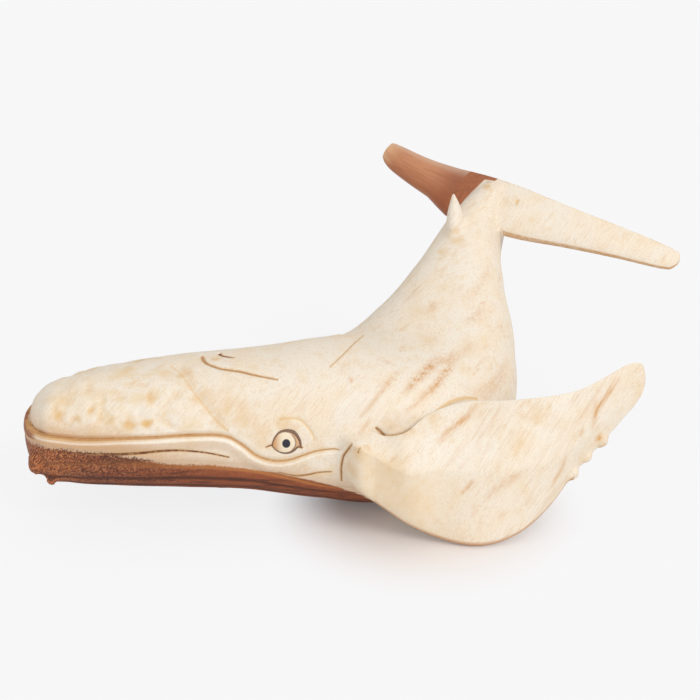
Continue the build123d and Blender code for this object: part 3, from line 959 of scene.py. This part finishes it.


# The lower side of each shoulder has the painted shade of the fin that it carries, a yellow tan
SHOULDER_REACH = 0.005
low_side_shade = np.zeros(len(points))
for seat, (skin, _) in zip(fin_seats.values(), join_skins):
    gap = np.array([skin.find_nearest(point, SHOULDER_REACH)[3] for point in points], float)
    back, across, ridge, _ = fin_shares_of(seat, points)
    close = limited(1 - np.nan_to_num(gap, nan=SHOULDER_REACH) / SHOULDER_REACH)
    here = close * limited((back + 0.10) / 0.07)
    low_side_shade = np.maximum(low_side_shade, here * limited(0.5 - (across - ridge) / 0.22))

moved = points + normals * push[:, None]
moved[:, 2] = np.maximum(moved[:, 2], 0.0)
move_points(body.data, moved)


def keep(mesh, name, values):
    """Stores a value for each point, for the material to read."""
    kind = "FLOAT_VECTOR" if values.ndim == 2 else "FLOAT"
    layer = mesh.attributes.new(name, kind, "POINT")
    layer.data.foreach_set("vector" if values.ndim == 2 else "value", values.ravel().astype(np.float32))


marks |= {
    "heart": heart, "dent": dent, "front_lip": front_lip, "eye": eye_map, "upper_jaw": upper_jaw,
    "pleat": np.where(pleat_show > 0, pleat, -1.0), "pleat_show": pleat_show, "low_side_shade": low_side_shade,
    "lip": np.where(end > 0, lip, UNMARKED),
    "streak": strokes(points, normals, STREAKS_px, body_skin),
    "stain": patches(points, STAINS_px, body_skin),
}
for name, values in marks.items():
    keep(body.data, name, values)

# The pale wood
# Sapwood with yellow stains, long tan streaks along the tree's own grain, fine pores, and dark
# colour in the cuts. It is sanded and has only a little wax, so it stays matte.
GRAIN_TILT = -37.6  # degrees that the grain climbs towards the tail
GRAIN_TURN = 34.7  # degrees that it turns to the whale's right


def paint(red, green, blue):
    """A colour as the eye names it, 0 to 255, in the light that the shader works with."""
    shares = [c / 255 for c in (red, green, blue)]
    return tuple(c / 12.92 if c <= 0.04045 else ((c + 0.055) / 1.055) ** 2.4 for c in shares) + (1.0,)


def arithmetic(operation, turned=False):
    """A method of a Tone that works out one sum with a Math node."""

    def worked_out(self, other=0.0):
        pair = (other, self) if turned else (self, other)
        return self.nodes.node("ShaderNodeMath", {"operation": operation}, dict(enumerate(pair)))

    return worked_out


class Tone:
    """What a node gives, with the usual arithmetic on numbers."""

    def __init__(self, nodes, socket):
        self.nodes, self.socket = nodes, socket

    __add__ = __radd__ = arithmetic("ADD")
    __mul__ = __rmul__ = arithmetic("MULTIPLY")
    __sub__ = arithmetic("SUBTRACT")
    __rsub__ = arithmetic("SUBTRACT", turned=True)
    __pow__ = arithmetic("POWER")
    most = arithmetic("MAXIMUM")
    least = arithmetic("MINIMUM")
    size = arithmetic("ABSOLUTE")

    def rise(self, low, high):
        """0 under low, 1 over high, and smooth between."""
        settings = {"interpolation_type": "SMOOTHSTEP"}
        sockets = {0: self, 1: low, 2: high, 3: 0.0, 4: 1.0}
        return self.nodes.node("ShaderNodeMapRange", settings, sockets)

    def axis(self, which):
        """One of the three numbers of a place."""
        return self.nodes.node("ShaderNodeSeparateXYZ", None, {0: self}, output=which)


class Nodes:
    """A tree of nodes that is built from nothing."""

    def __init__(self, tree):
        self.tree = tree
        tree.nodes.clear()

    def node(self, kind, settings=None, sockets=None, output=0):
        """A node with its settings, and the values or links of its sockets."""
        made = self.tree.nodes.new(kind)
        for name, value in (settings or {}).items():
            setattr(made, name, value)
        for name, value in (sockets or {}).items():
            if isinstance(value, Tone):
                self.tree.links.new(value.socket, made.inputs[name])
            else:
                made.inputs[name].default_value = value
        return Tone(self, made.outputs[output]) if made.outputs else None


class Finish(Nodes):
    """One finish: a material and the nodes in it."""

    def __init__(self, name):
        self.material = bpy.data.materials.new(name)
        self.material.use_nodes = True
        super().__init__(self.material.node_tree)
        self.place = self.node("ShaderNodeTexCoord", output="Object")

    def mark(self, name, output="Fac"):
        """What the points of a piece keep under a name."""
        return self.node("ShaderNodeAttribute", {"attribute_name": name}, output=output)

    def grain(self, length, width, seed, detail=2.0, turned=True):
        """Noise drawn out along the grain, from 0 to 1 and mostly near the middle."""
        turn = (0.0, math.radians(GRAIN_TILT), math.radians(GRAIN_TURN)) if turned else (0.0, 0.0, 0.0)
        sockets = {"Vector": self.place, "Rotation": turn, "Scale": (length, width, width)}
        place = self.node("ShaderNodeMapping", {"vector_type": "TEXTURE"}, sockets)
        sockets = {"Vector": place, "W": seed, "Scale": 1.0, "Detail": detail, "Roughness": 0.55}
        return self.node("ShaderNodeTexNoise", {"noise_dimensions": "4D"}, sockets)

    def layered(self, colour, *layers):
        """A colour with others laid over it, each as far as its share."""
        for other, share in layers:
            sockets = {0: share, 6: colour, 7: other}
            colour = self.node("ShaderNodeMix", {"data_type": "RGBA"}, sockets, output=2)
        return colour

    def finish(self, colour, roughness, height, bump):
        """Joins colour, roughness and relief in millimetres, and returns the material."""
        sockets = {"Strength": bump, "Distance": 0.001, "Height": height}
        relief = self.node("ShaderNodeBump", None, sockets, output="Normal")
        sockets = {"Base Color": colour, "Roughness": roughness, "Normal": relief}
        surface = self.node("ShaderNodeBsdfPrincipled", None, sockets, output="BSDF")
        self.node("ShaderNodeOutputMaterial", None, {"Surface": surface})
        return self.material


PALE = paint(240, 229, 212)
WARM = paint(240, 217, 185)
YELLOW = paint(232, 202, 152)
STREAK = paint(214, 162, 102)
RED_STREAK = paint(204, 130, 64)
STAIN = paint(224, 180, 112)
PORE = paint(176, 132, 94)


def sapwood(finish, seed, streak_share):
    """Pale wood: its colour, relief in millimetres and roughness."""
    stains = finish.grain(0.055, 0.028, seed, 3.0)
    blotches = finish.grain(0.015, 0.010, seed + 1, 3.0)
    streaks = finish.grain(0.110, 0.0055, seed + 2, 2.0)
    clumps = finish.grain(0.070, 0.026, seed + 3, 1.0)
    fibres = finish.grain(0.026, 0.0010, seed + 4, 2.0)
    pore = finish.grain(0.0022, 0.0006, seed + 5, 1.0).rise(0.60, 0.74)
    rough_edge = finish.grain(0.022, 0.0015, seed + 6, 3.0)
    speckle = finish.grain(0.0013, 0.0013, seed + 7, 1.0, turned=False)
    streak = streaks.rise(0.50, 0.74) * clumps.rise(0.42, 0.66) * streak_share
    # On the fins the streaks also hold the painted shade under the knobs
    drawn = (finish.mark("streak") * (rough_edge.rise(0.30, 0.64) * 0.80 + 0.35)).least(1.0)
    colour = finish.layered(
        PALE,
        (WARM, stains.rise(0.42, 0.70) * 0.55),
        (YELLOW, blotches.rise(0.48, 0.76) * 0.38),
        (STREAK, (streak * 0.6).most((drawn * 1.15).least(1.0))),
        (RED_STREAK, drawn.rise(0.45, 0.95) * rough_edge.rise(0.44, 0.64) * 0.40),
        (STAIN, finish.mark("stain") * (blotches.rise(0.30, 0.62) * 0.4 + 0.6)),
        (STREAK, fibres.rise(0.46, 0.78) * 0.34),
        (PORE, pore * 0.18),
        (PORE, speckle.rise(0.50, 0.74) * 0.14),
    )
    height = fibres * 0.22 - pore * 0.22 + blotches * 0.30 + speckle * 0.12
    return colour, height, streak * 0.05 + 0.58


def painted_shade_below(finish, colour, share):
    """Painted shade, a yellow tan, on the lower side of fins and shoulders, where they turn downwards.
    """
    blotches = finish.grain(0.012, 0.006, 61.0, 3.0).rise(0.45, 0.70)
    return finish.layered(colour, (WARM, share * 0.65), (YELLOW, share * blotches * 0.45))


WAX_GRAIN = (0.016, 0.011, 21.0, 3.0)  # length, width, seed and detail
DENT_GRAIN = (0.006, 0.003, 23.0, 3.0)
wood = Finish("carved_sapwood")
back_here = wood.place.axis(0)
flank = back_here.rise(-0.06, 0.03)
colour, height, rough = sapwood(wood, 3.0, flank * 0.6 + 0.1)
jaw_blotch = wood.grain(*WAX_GRAIN, turned=False)
colour = wood.layered(
    colour,
    (YELLOW, wood.mark("upper_jaw") * jaw_blotch.rise(0.46, 0.70) * 0.42),
    (STAIN, wood.mark("dent") * wood.grain(*DENT_GRAIN).rise(0.25, 0.62) * 0.38),
)
# Painted shade, a yellow tan, on the lower side of the shoulders
colour = painted_shade_below(wood, colour, wood.mark("low_side_shade"))

# The body's heartwood
# Reddish brown, in long layers, and hatched all over the front of the jaw by the point of a
# knife. Its edge against the sapwood is ragged where the knife crossed it.
HEARTWOOD = paint(146, 75, 38)
HEART_LIGHT = paint(168, 92, 50)
HEART_DARK = paint(70, 30, 16)
HEART_PALE = paint(206, 162, 118)
HEART_TIP = paint(200, 116, 60)
HEART_TAIL = paint(186, 112, 68)
# Painted highlight on the proud edge of the lower lip
LIP_HIGHLIGHT = paint(252, 242, 226)
waver = wood.grain(0.060, 0.004, 31.0, 3.0, turned=False)
layers = wood.grain(0.16, 0.0032, 33.0, 3.0, turned=False)
hairs = wood.grain(0.006, 0.0007, 35.0, 2.0)
hatch = wood.grain(0.0085, 0.0011, 36.0, 2.0)
front = 1 - back_here.rise(-0.225, -0.110)
snout_tip = 1 - back_here.rise(-0.250, -0.215)
ahead = 1 - back_here.rise(0.05, 0.10)
at_tail = wood.place.axis(2).rise(0.13, 0.16)
depth = wood.mark("heart")
ragged = (waver - 0.5) * 0.004 + (hatch - 0.5) * (front * 0.010 + 0.0015)
heart = (depth + ragged * ahead).rise(-0.0008, front * 0.0030 + 0.0012)
hatched = (1 - depth.rise(0.005, 0.012)) * front
knife_marks = hatch.rise(0.47, 0.57) * (front * 0.70 + 0.15)
pleat = wood.mark("pleat")
pleat_middle = wood.node("ShaderNodeMath", {"operation": "FRACT"}, {0: pleat + 100.5})
pleat_line = (1 - (pleat_middle - 0.5).size().rise(0.06, 0.26)) * wood.mark("pleat_show")
lower_line = pleat.rise(1.3, 1.8)
heart_colour = wood.layered(
    HEART_LIGHT,
    # Darker further below the heartwood's edge, towards the bottom of the jaw
    (HEARTWOOD, (depth + (layers - 0.5) * 0.02).rise(-0.002, 0.008)),
    (HEART_LIGHT, layers.rise(0.50, 0.64) * 0.5),
    (HEART_DARK, (1 - layers).rise(0.50, 0.62) * 0.60),
    (HEART_DARK, hatched * (hatch.rise(0.40, 0.60) * 0.35 + 0.20)),
    (HEART_TIP, snout_tip * 0.60),
    (HEART_TAIL, at_tail * 0.55),
    (HEART_DARK, (hairs.rise(0.52, 0.68) * 0.45).most(knife_marks)),
    (HEART_PALE, (1 - hatch).rise(0.54, 0.66) * front * 0.35),
    (RED_STREAK, pleat_line * (1 - lower_line) * (0.75 - front * 0.60)),
    (HEART_DARK, pleat_line * (lower_line * 0.55 + 0.20)),
)
near_heart = (depth + (hatch - 0.5) * 0.010).rise(-0.016 - front * 0.006, 0.0)
near_heart = near_heart * (1 - heart) * (1 - back_here.rise(-0.04, 0.04))
lip = wood.mark("lip")
# A painted highlight along the proud lower lip, just under the mouth's cut
lip_highlight_band = lip.rise(-0.0042, -0.0033) * (1 - lip.rise(-0.0027, -0.0018))
under_lip = lip.rise(-0.013, -0.009) * (1 - lip.rise(-0.0048, -0.0038))
under_lip = under_lip * (1 - back_here.rise(-0.14, -0.08))
colour = wood.layered(
    colour,
    (heart_colour, heart),
    (HEART_PALE, near_heart * (front * 0.35 + 0.5)),
    (LIP_HIGHLIGHT, lip_highlight_band * 0.45),
    (HEART_PALE, under_lip * (1 - heart) * 0.38),
    (HEARTWOOD, wood.mark("front_lip").rise(0.10, 0.45) * 0.85),
)

# Colour in the body's folds and cuts
# Folds are only tanned. Cuts are brown to nearly black, broken along their length, and the wood
# beside them is tinted tan.
TAN_FOLD = paint(222, 176, 98)
TAN_CUT = paint(208, 158, 104)
CUT = paint(112, 60, 30)
crease_room = wood.mark("crease_half") - wood.mark("crease").size()
cut_room = wood.mark("cut_half") - wood.mark("cut").size()
cut_mask = cut_room.rise(-0.00045, 0.0003)
broken = wood.grain(0.010, 0.003, 41.0, 2.0)
cut_share = wood.mark("cut_dark") * (broken.rise(0.30, 0.62) * 0.5 + 0.5)
colour = wood.layered(
    colour,
    (STAIN, crease_room.rise(-0.0020, 0.0) * 0.60),
    (TAN_FOLD, crease_room.rise(-0.0006, 0.0004) * 0.25),
    (STAIN, cut_room.rise(-0.0020, 0.0) * (1 - heart) * 0.5),
    (wood.layered(TAN_CUT, (CUT, cut_share)), cut_mask * (broken.rise(0.25, 0.55) * 0.25 + 0.75)),
)
height = height - cut_mask * 0.8 - pleat_line * 0.4

# The eyes' paint
# White that turns tan in the front corner and beyond the brown curve at the back, a dark pupil,
# and a brown rim in the cut.
EYE_WHITE = paint(242, 224, 196)
EYE_TAN = paint(206, 152, 98)
EYE_RIM = paint(96, 50, 22)
PUPIL = paint(38, 34, 46)
PUPIL_MIDDLE = (-0.02, 0.215)  # across and upward, in shares of half the eye
PUPIL_SIZE = (0.087, 0.084)  # squares of its half width and half height
LID_MIDDLE = 0.25
EYE_PATCHES = (0.003, 0.0012, 45.0, 2.0)
eye = wood.mark("eye", "Vector")
across, upward = eye.axis(0), eye.axis(1)
on_eye = 1 - eye.axis(2).rise(0.1, 0.2)
upper = upward.rise(-0.001, 0.001)
lid_above = upward.most(0.0) ** 1.6 + across.size() ** 2.5
lid_below = ((across + 0.1) * (1 / 0.9)).size() ** 2.2 - upward * (1 / EYE_BELOW)
lid = lid_above * upper + lid_below * (1 - upper)
inside = (1 - lid.rise(0.94, 1.02)) * on_eye
patchy = wood.grain(*EYE_PATCHES, turned=False)
rim_width = across.rise(-0.6, 0.6) * 0.10 + patchy * 0.10 + 0.05
rim = (rim_width - (lid - 1.0).size()).rise(-0.05, 0.04) * on_eye
rim = rim * (1 - across.size().rise(1.0, 1.10))
above_lid = upward - LID_MIDDLE
lid_ring = across * across + above_lid * above_lid * 1.2
beside_pupil, above_pupil = across - PUPIL_MIDDLE[0], upward - PUPIL_MIDDLE[1]
pupil_gap = beside_pupil * beside_pupil * (1 / PUPIL_SIZE[0])
pupil_gap = pupil_gap + above_pupil * above_pupil * (1 / PUPIL_SIZE[1])
ball_colour = wood.layered(
    EYE_WHITE,
    (EYE_TAN, 1 - across.rise(-0.95, -0.20)),
    (EYE_TAN, lid_ring.rise(0.34, 0.44) * across.rise(0.1, 0.4) * 0.75),
    (EYE_RIM, (1 - (lid_ring - 0.40).size().rise(0.02, 0.09)) * across.rise(0.25, 0.5) * 0.65),
    (PUPIL, 1 - pupil_gap.rise(0.70, 1.15)),
)
colour = wood.layered(colour, (ball_colour, inside), (EYE_RIM, rim * 0.85))
body_wood = wood.finish(colour, rough - inside * 0.2, height - rim * 0.5, 0.6)
SHARP_ANGLE = 60.0


def shade(piece, material):
    """Gives a piece its finish, smooth but for its sharp edges."""
    piece.data.materials.clear()
    piece.data.materials.append(material)
    piece.data.shade_smooth()
    piece.data.set_sharp_from_angle(angle=math.radians(SHARP_ANGLE))


shade(body, body_wood)
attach(body, "root")
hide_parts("body")

# The blades of the pectoral fins
# Each is thinned from its own board of pale wood, glued to the shoulder and pinned. Three knobs
# are left standing on its front edge and carved over, and wax has browned that edge.
FIN_KNOBS = 3
FIN_KNOB_RADIUS = 0.0068
FIN_KNOB_SHARES = (0.92, 1.10)  # smallest and largest, in shares of that radius
FIN_KNOB_RANGE = (0.735, 0.860)  # along the blade
FIN_KNOB_DEPTH = 0.0042  # behind the front edge
KNOB_EDGE_STEPS = 11
KNOB_REACH = 0.003  # how far from a knob the blade is carved over
KNOB_ROUNDS = 14
RIM_WIDTH = 0.0045
RIM_END = 0.74
FIN_RIM = paint(196, 138, 86)
FIN_STREAKS_AND_KNOB_SHADE_px = (
    (((478.5, 403), (467, 416.5), (455.5, 426), (445.5, 434.5), (436, 444)), 2.6, 0.65),
    (((475, 479), (467, 488), (459, 495.5)), 1.5, 0.75),
    (((531, 467), (519, 475), (506, 482.5), (492, 493), (479, 504)), 3.6, 0.38),
    (((621, 378), (615, 383), (608.5, 393), (602, 402), (597, 408.5), (594.5, 421), (592, 431.5)),
     2.4, 0.75),
    (((595.5, 396), (595, 408.5)), 2.0, 0.40),
    (((567.5, 454.5), (561, 470), (555, 480), (551, 489)), 2.4, 0.60),
    (((511, 474.5), (512, 478)), 1.8, 0.50),
    (((583, 428), (580, 437)), 2.6, 0.45),
    # The next three strokes are painted shade under the knobs on the front edge
    (((606, 443), (602, 446.5), (597, 448)), 1.6, 0.70),
    (((591.5, 462), (588, 465.5), (582, 467.5)), 1.6, 0.80),
    (((570, 484), (566, 487), (561, 489)), 1.6, 0.60),
    (((598, 434), (600.5, 441)), 2.6, 1.00),
    (((585, 455), (583, 464)), 2.2, 0.60),
    (((532, 495), (525.5, 507)), 3.2, 0.30),
    (((505, 510), (498, 520)), 2.6, 0.25),
    (((420, 486), (410, 497)), 2.2, 0.22),
    (((560, 415), (550, 432)), 2.4, 0.20),
)
FIN_STAINS_px = (
    (372, 462, 16, 0.55), (392, 474, 14, 0.50), (410, 500, 12, 0.35), (388, 500, 10, 0.35),
    (375, 482, 12, 0.4), (535, 412, 12, 0.35), (600, 441, 8, 0.5), (583, 461, 7, 0.45),
    (566, 482, 7, 0.3), (520, 440, 14, 0.25), (432, 418, 9, 0.35), (410, 432, 7, 0.35),
)
knobs = Nodes(bpy.data.node_groups.new("fin_knobs", "GeometryNodeTree"))
KNOB_SOCKETS = {
    "Edge": "Geometry", "Count": "Int", "Radius": "Float", "Seed": "Int", "Material": "Material",
}
for name, kind in KNOB_SOCKETS.items():
    knobs.tree.interface.new_socket(name, in_out="INPUT", socket_type="NodeSocket" + kind)
knobs.tree.interface.new_socket("Geometry", in_out="OUTPUT", socket_type="NodeSocketGeometry")
given = {name: knobs.node("NodeGroupInput", output=name) for name in KNOB_SOCKETS}
line = knobs.node("GeometryNodeMeshToCurve", None, {"Mesh": given["Edge"]})
spots = knobs.node("GeometryNodeResampleCurve", None, {"Curve": line, "Count": given["Count"]})
sockets = {"Radius": given["Radius"], "Subdivisions": 4}
round_knob = knobs.node("GeometryNodeMeshIcoSphere", None, sockets)
sockets = {"Seed": given["Seed"], 2: FIN_KNOB_SHARES[0], 3: FIN_KNOB_SHARES[1]}
sizes = knobs.node("FunctionNodeRandomValue", {"data_type": "FLOAT"}, sockets, output=1)
sockets = {"Points": spots, "Instance": round_knob, "Scale": sizes}
placed = knobs.node("GeometryNodeInstanceOnPoints", None, sockets)
real = knobs.node("GeometryNodeRealizeInstances", None, {0: placed})
painted = knobs.node("GeometryNodeSetMaterial", None, {"Geometry": real, "Material": given["Material"]})
knobs.node("NodeGroupOutput", None, {0: painted})

fin_wood = Finish("fin_sapwood")
colour, height, rough = sapwood(fin_wood, 3.0, 0.60)
# Painted shade, a yellow tan, on the blade below its ridge, strongest near the root
below = 1 - fin_wood.mark("chord").rise(-0.11, 0.11)
near_root = 1 - fin_wood.mark("back").rise(0.10, 0.34) * 0.90
colour = painted_shade_below(fin_wood, colour, below * near_root)
colour = fin_wood.layered(colour, (FIN_RIM, fin_wood.mark("rim").rise(0.2, 0.9) * 0.80))
fin_board = fin_wood.finish(colour, rough, height, 0.6)


def knob_row(seat):
    """The knobs on the front edge of one fin."""
    front, rear, _, _ = fin_edges(seat, np.linspace(*FIN_KNOB_RANGE, KNOB_EDGE_STEPS + 1))
    inner = (rear - front) / lengths(rear - front)[:, None]
    places = [tuple(place) for place in front + inner * FIN_KNOB_DEPTH]
    edge = bpy.data.meshes.new("knob_edge")
    edge.from_pydata(places, [(k, k + 1) for k in range(KNOB_EDGE_STEPS)], [])
    row = set_down("fin_knobs", edge)
    modifier = row.modifiers.new("knobs", "NODES")
    modifier.node_group = knobs.tree
    wanted = {"Count": FIN_KNOBS, "Radius": FIN_KNOB_RADIUS, "Seed": 4, "Material": fin_board}
    for item in knobs.tree.interface.items_tree:
        if item.in_out == "INPUT" and item.name in wanted:
            modifier[item.identifier] = wanted[item.name]
    row.update_tag()
    graph = bpy.context.evaluated_depsgraph_get()
    knob_mesh = bpy.data.meshes.new_from_object(row.evaluated_get(graph))
    row.modifiers.clear()
    row.data = knob_mesh
    return row


for side, seat in fin_seats.items():
    backs = paced(((0.0, 0), (0.9, 0.007), (1.0, 0.003), (FIN_TIP, 0.002)))
    fin = closed_shell(side + "_fin_blade", fin_rings(seat, backs))
    row = knob_row(seat)
    knob_skin = skin_of(row)
    unite(fin, [row])
    gaps = np.array([knob_skin.find_nearest(point)[3] for point in points_of(fin.data)])
    relax(fin.data, 1 - np.minimum(gaps / KNOB_REACH, 1), KNOB_ROUNDS)
    points, normals = points_of(fin.data), normals_of(fin.data)
    at, share, ridge, width = fin_shares_of(seat, points)
    keep(fin.data, "chord", share - ridge)
    keep(fin.data, "back", at)
    keep(fin.data, "rim", limited(1 - share * width / RIM_WIDTH) * (at < RIM_END))
    if side == "left":
        skin = skin_of(fin)
        # The streaks kept here also hold the painted shade under the knobs
        keep(fin.data, "streak", strokes(points, normals, FIN_STREAKS_AND_KNOB_SHADE_px, skin))
        keep(fin.data, "stain", patches(points, FIN_STAINS_px, skin))
    shade(fin, fin_board)
    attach(fin, "root")
    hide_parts(side + "_pectoral_fin")

# The fluke blades
# Two thin boards, glued and pinned to the root on the tail. The left one is pale sapwood, darker
# tan on its faces that point downwards. The right one is heartwood, lighter towards its tip and its rear
# edge.
FLUKE_BROWN = paint(204, 138, 96)
FLUKE_DEEP = paint(172, 98, 56)
FLUKE_FRONT = paint(156, 80, 38)
FLUKE_TIP = paint(234, 188, 142)
FLUKE_REAR = paint(216, 186, 160)
fluke_pale = Finish("fluke_sapwood")
colour, height, rough = sapwood(fluke_pale, 15.0, 0.15)
facing_down = 1 - fluke_pale.node("ShaderNodeNewGeometry", output="Normal").axis(2).rise(-0.10, 0.15)
under_grain = fluke_pale.grain(0.03, 0.002, 63.0, 2.0, turned=False)
colour = fluke_pale.layered(colour, (TAN_CUT, facing_down * (under_grain.rise(0.35, 0.65) * 0.4 + 0.5)))
pale_board = fluke_pale.finish(colour, rough, height, 0.5)

fluke_dark = Finish("fluke_heartwood")
outward, chord = fluke_dark.mark("out"), fluke_dark.mark("chord")


def along_fluke(out_scale, chord_scale, detail):
    """Noise that follows the dark fluke's length."""
    sockets = {0: outward * out_scale, 1: chord * chord_scale}
    place = fluke_dark.node("ShaderNodeCombineXYZ", None, sockets)
    sockets = {"Vector": place, "Scale": 1.0, "Detail": detail}
    return fluke_dark.node("ShaderNodeTexNoise", None, sockets)


layers = along_fluke(2.5, 9.0, 3.0)
hairs = along_fluke(9.0, 60.0, 2.0)
colour = fluke_dark.layered(
    FLUKE_BROWN,
    (FLUKE_DEEP, layers.rise(0.44, 0.64) * 0.4),
    (HEARTWOOD, (1 - outward.rise(0.20, 0.50)) * 0.8),
    (FLUKE_FRONT, (1 - chord.rise(0.05, 0.50)) * 0.55),
    (FLUKE_TIP, (outward + (layers - 0.5) * 0.3).rise(0.78, 1.05) * 0.85),
    (FLUKE_REAR, chord.rise(0.72, 0.98) * 0.55),
    (HEART_DARK, hairs.rise(0.50, 0.72) * 0.20),
)
dark_board = fluke_dark.finish(colour, layers * 0.1 + 0.42, hairs * 0.3 + layers * 0.3, 0.4)

for side, seat in fluke_seats.items():
    outs = paced(((FLUKE_SEAM, 0), (0.9, 0.010), (0.98, 0.004), (1.0, 0.0022)))
    blade = closed_shell(side + "_fluke_blade", fluke_rings(seat, outs))
    ring = np.concatenate([chord_places, chord_places[-2:0:-1]])
    keep(blade.data, "chord", np.concatenate([np.tile(ring, len(outs)), [0.5, 0.5]]))
    keep(blade.data, "out", np.concatenate([np.repeat(outs, len(ring)), [FLUKE_SEAM, 1.0]]))
    shade(blade, pale_board if side == "left" else dark_board)
    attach(blade, "root")
    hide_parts(side + "_fluke")

# The dowels
# Turned rods of pale wood, two at each fin and fluke, glued into bores on both sides of the seam
# and hidden there. The frame's own solids stay and get this finish.
DOWEL_PALE = paint(222, 190, 148)
DOWEL_TAN = paint(186, 140, 96)
rod = Finish("turned_dowel")
rod_grain = rod.grain(0.012, 0.0009, 71.0, 2.0, turned=False)
colour = rod.layered(DOWEL_PALE, (DOWEL_TAN, rod_grain.rise(0.40, 0.68) * 0.7))
rod_finish = rod.finish(colour, rod_grain * 0.1 + 0.55, rod_grain, 0.3)
for name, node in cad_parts.items():
    if "dowel" in name:
        node.data.materials.clear()
        node.data.materials.append(rod_finish)

# The table and the light
# A white table in a white room, with soft light from above and in front. The camera sees the table
# glowing plain white, painted light that hides its shadow, except near the chest, where the shadow lies
# on painted warm shade.
FLOOR_SIZE = 14.0
CHEST_ON_FLOOR = (0.030, -0.055, 0.0)
SHADOW_RUN = (0.06, 0.13)  # distance from the chest at which the shadow starts and stops fading
SHADOW_GLOW = 0.06  # share of plain white that is left in the shadow, and that it gains outside
OPEN_GLOW = 0.82
TABLE_LIT = paint(234, 234, 234)
# Painted warm shade, the wood's reflection in the shadow near the chest
TABLE_WARM_SHADE = paint(240, 233, 229)
BACKDROP = (0.945, 0.95, 0.962, 1)
ROOM_STRENGTH = 0.53
LAMPS = (  # name, direction that it shines from, width in degrees, strength
    ("ceiling", (0.10, 0.20, 1.0), 60.0, 0.52),
    ("right", (0.62, -0.78, 0.75), 30.0, 1.17),
    ("left", (-0.60, -1.0, 0.45), 60.0, 0.55),
)
half = FLOOR_SIZE / 2
floor_mesh = bpy.data.meshes.new("floor")
corners = [(-half, -half, 0), (half, -half, 0), (half, half, 0), (-half, half, 0)]
floor_mesh.from_pydata(corners, [], [(0, 1, 2, 3)])
floor = set_down("floor", floor_mesh)
table = Finish("white_table")
plain = table.node("ShaderNodeBsdfDiffuse", None, {"Color": TABLE_LIT}, output="BSDF")
warm_shade_table = table.node("ShaderNodeBsdfDiffuse", None, {"Color": TABLE_WARM_SHADE}, output="BSDF")
glow = table.node("ShaderNodeEmission", None, {"Color": BACKDROP, "Strength": 1.0}, output="Emission")
sockets = {0: table.place, 1: CHEST_ON_FLOOR}
from_chest = table.node("ShaderNodeVectorMath", {"operation": "DISTANCE"}, sockets, output="Value")
# Painted light: away from the chest the table glows plain white, which hides its shadow there
floor_glow = from_chest.rise(*SHADOW_RUN) * OPEN_GLOW + SHADOW_GLOW
seen_table = table.node("ShaderNodeMixShader", None, {0: floor_glow, 1: warm_shade_table, 2: glow})
seen = table.node("ShaderNodeLightPath", output="Is Camera Ray")
surface = table.node("ShaderNodeMixShader", None, {0: seen, 1: plain, 2: seen_table})
table.node("ShaderNodeOutputMaterial", None, {"Surface": surface})
floor_mesh.materials.append(table.material)

scene = bpy.context.scene
scene.view_settings.view_transform = "Standard"
scene.world = bpy.data.worlds.new("white_room")
scene.world.use_nodes = True
room = Nodes(scene.world.node_tree)
light = room.node("ShaderNodeBackground", None, {"Color": (1, 1, 1, 1), "Strength": ROOM_STRENGTH})
white = room.node("ShaderNodeBackground", None, {"Color": BACKDROP})
seen = room.node("ShaderNodeLightPath", output="Is Camera Ray")
either = room.node("ShaderNodeMixShader", None, {0: seen, 1: light, 2: white})
room.node("ShaderNodeOutputWorld", None, {"Surface": either})
for name, place, angle, power in LAMPS:
    lamp = bpy.data.lights.new(name, "SUN")
    lamp.energy, lamp.angle = power, math.radians(angle)
    held = set_down(name, lamp)
    held.location = place
    held.rotation_euler = Vector(place).to_track_quat("Z", "Y").to_euler()
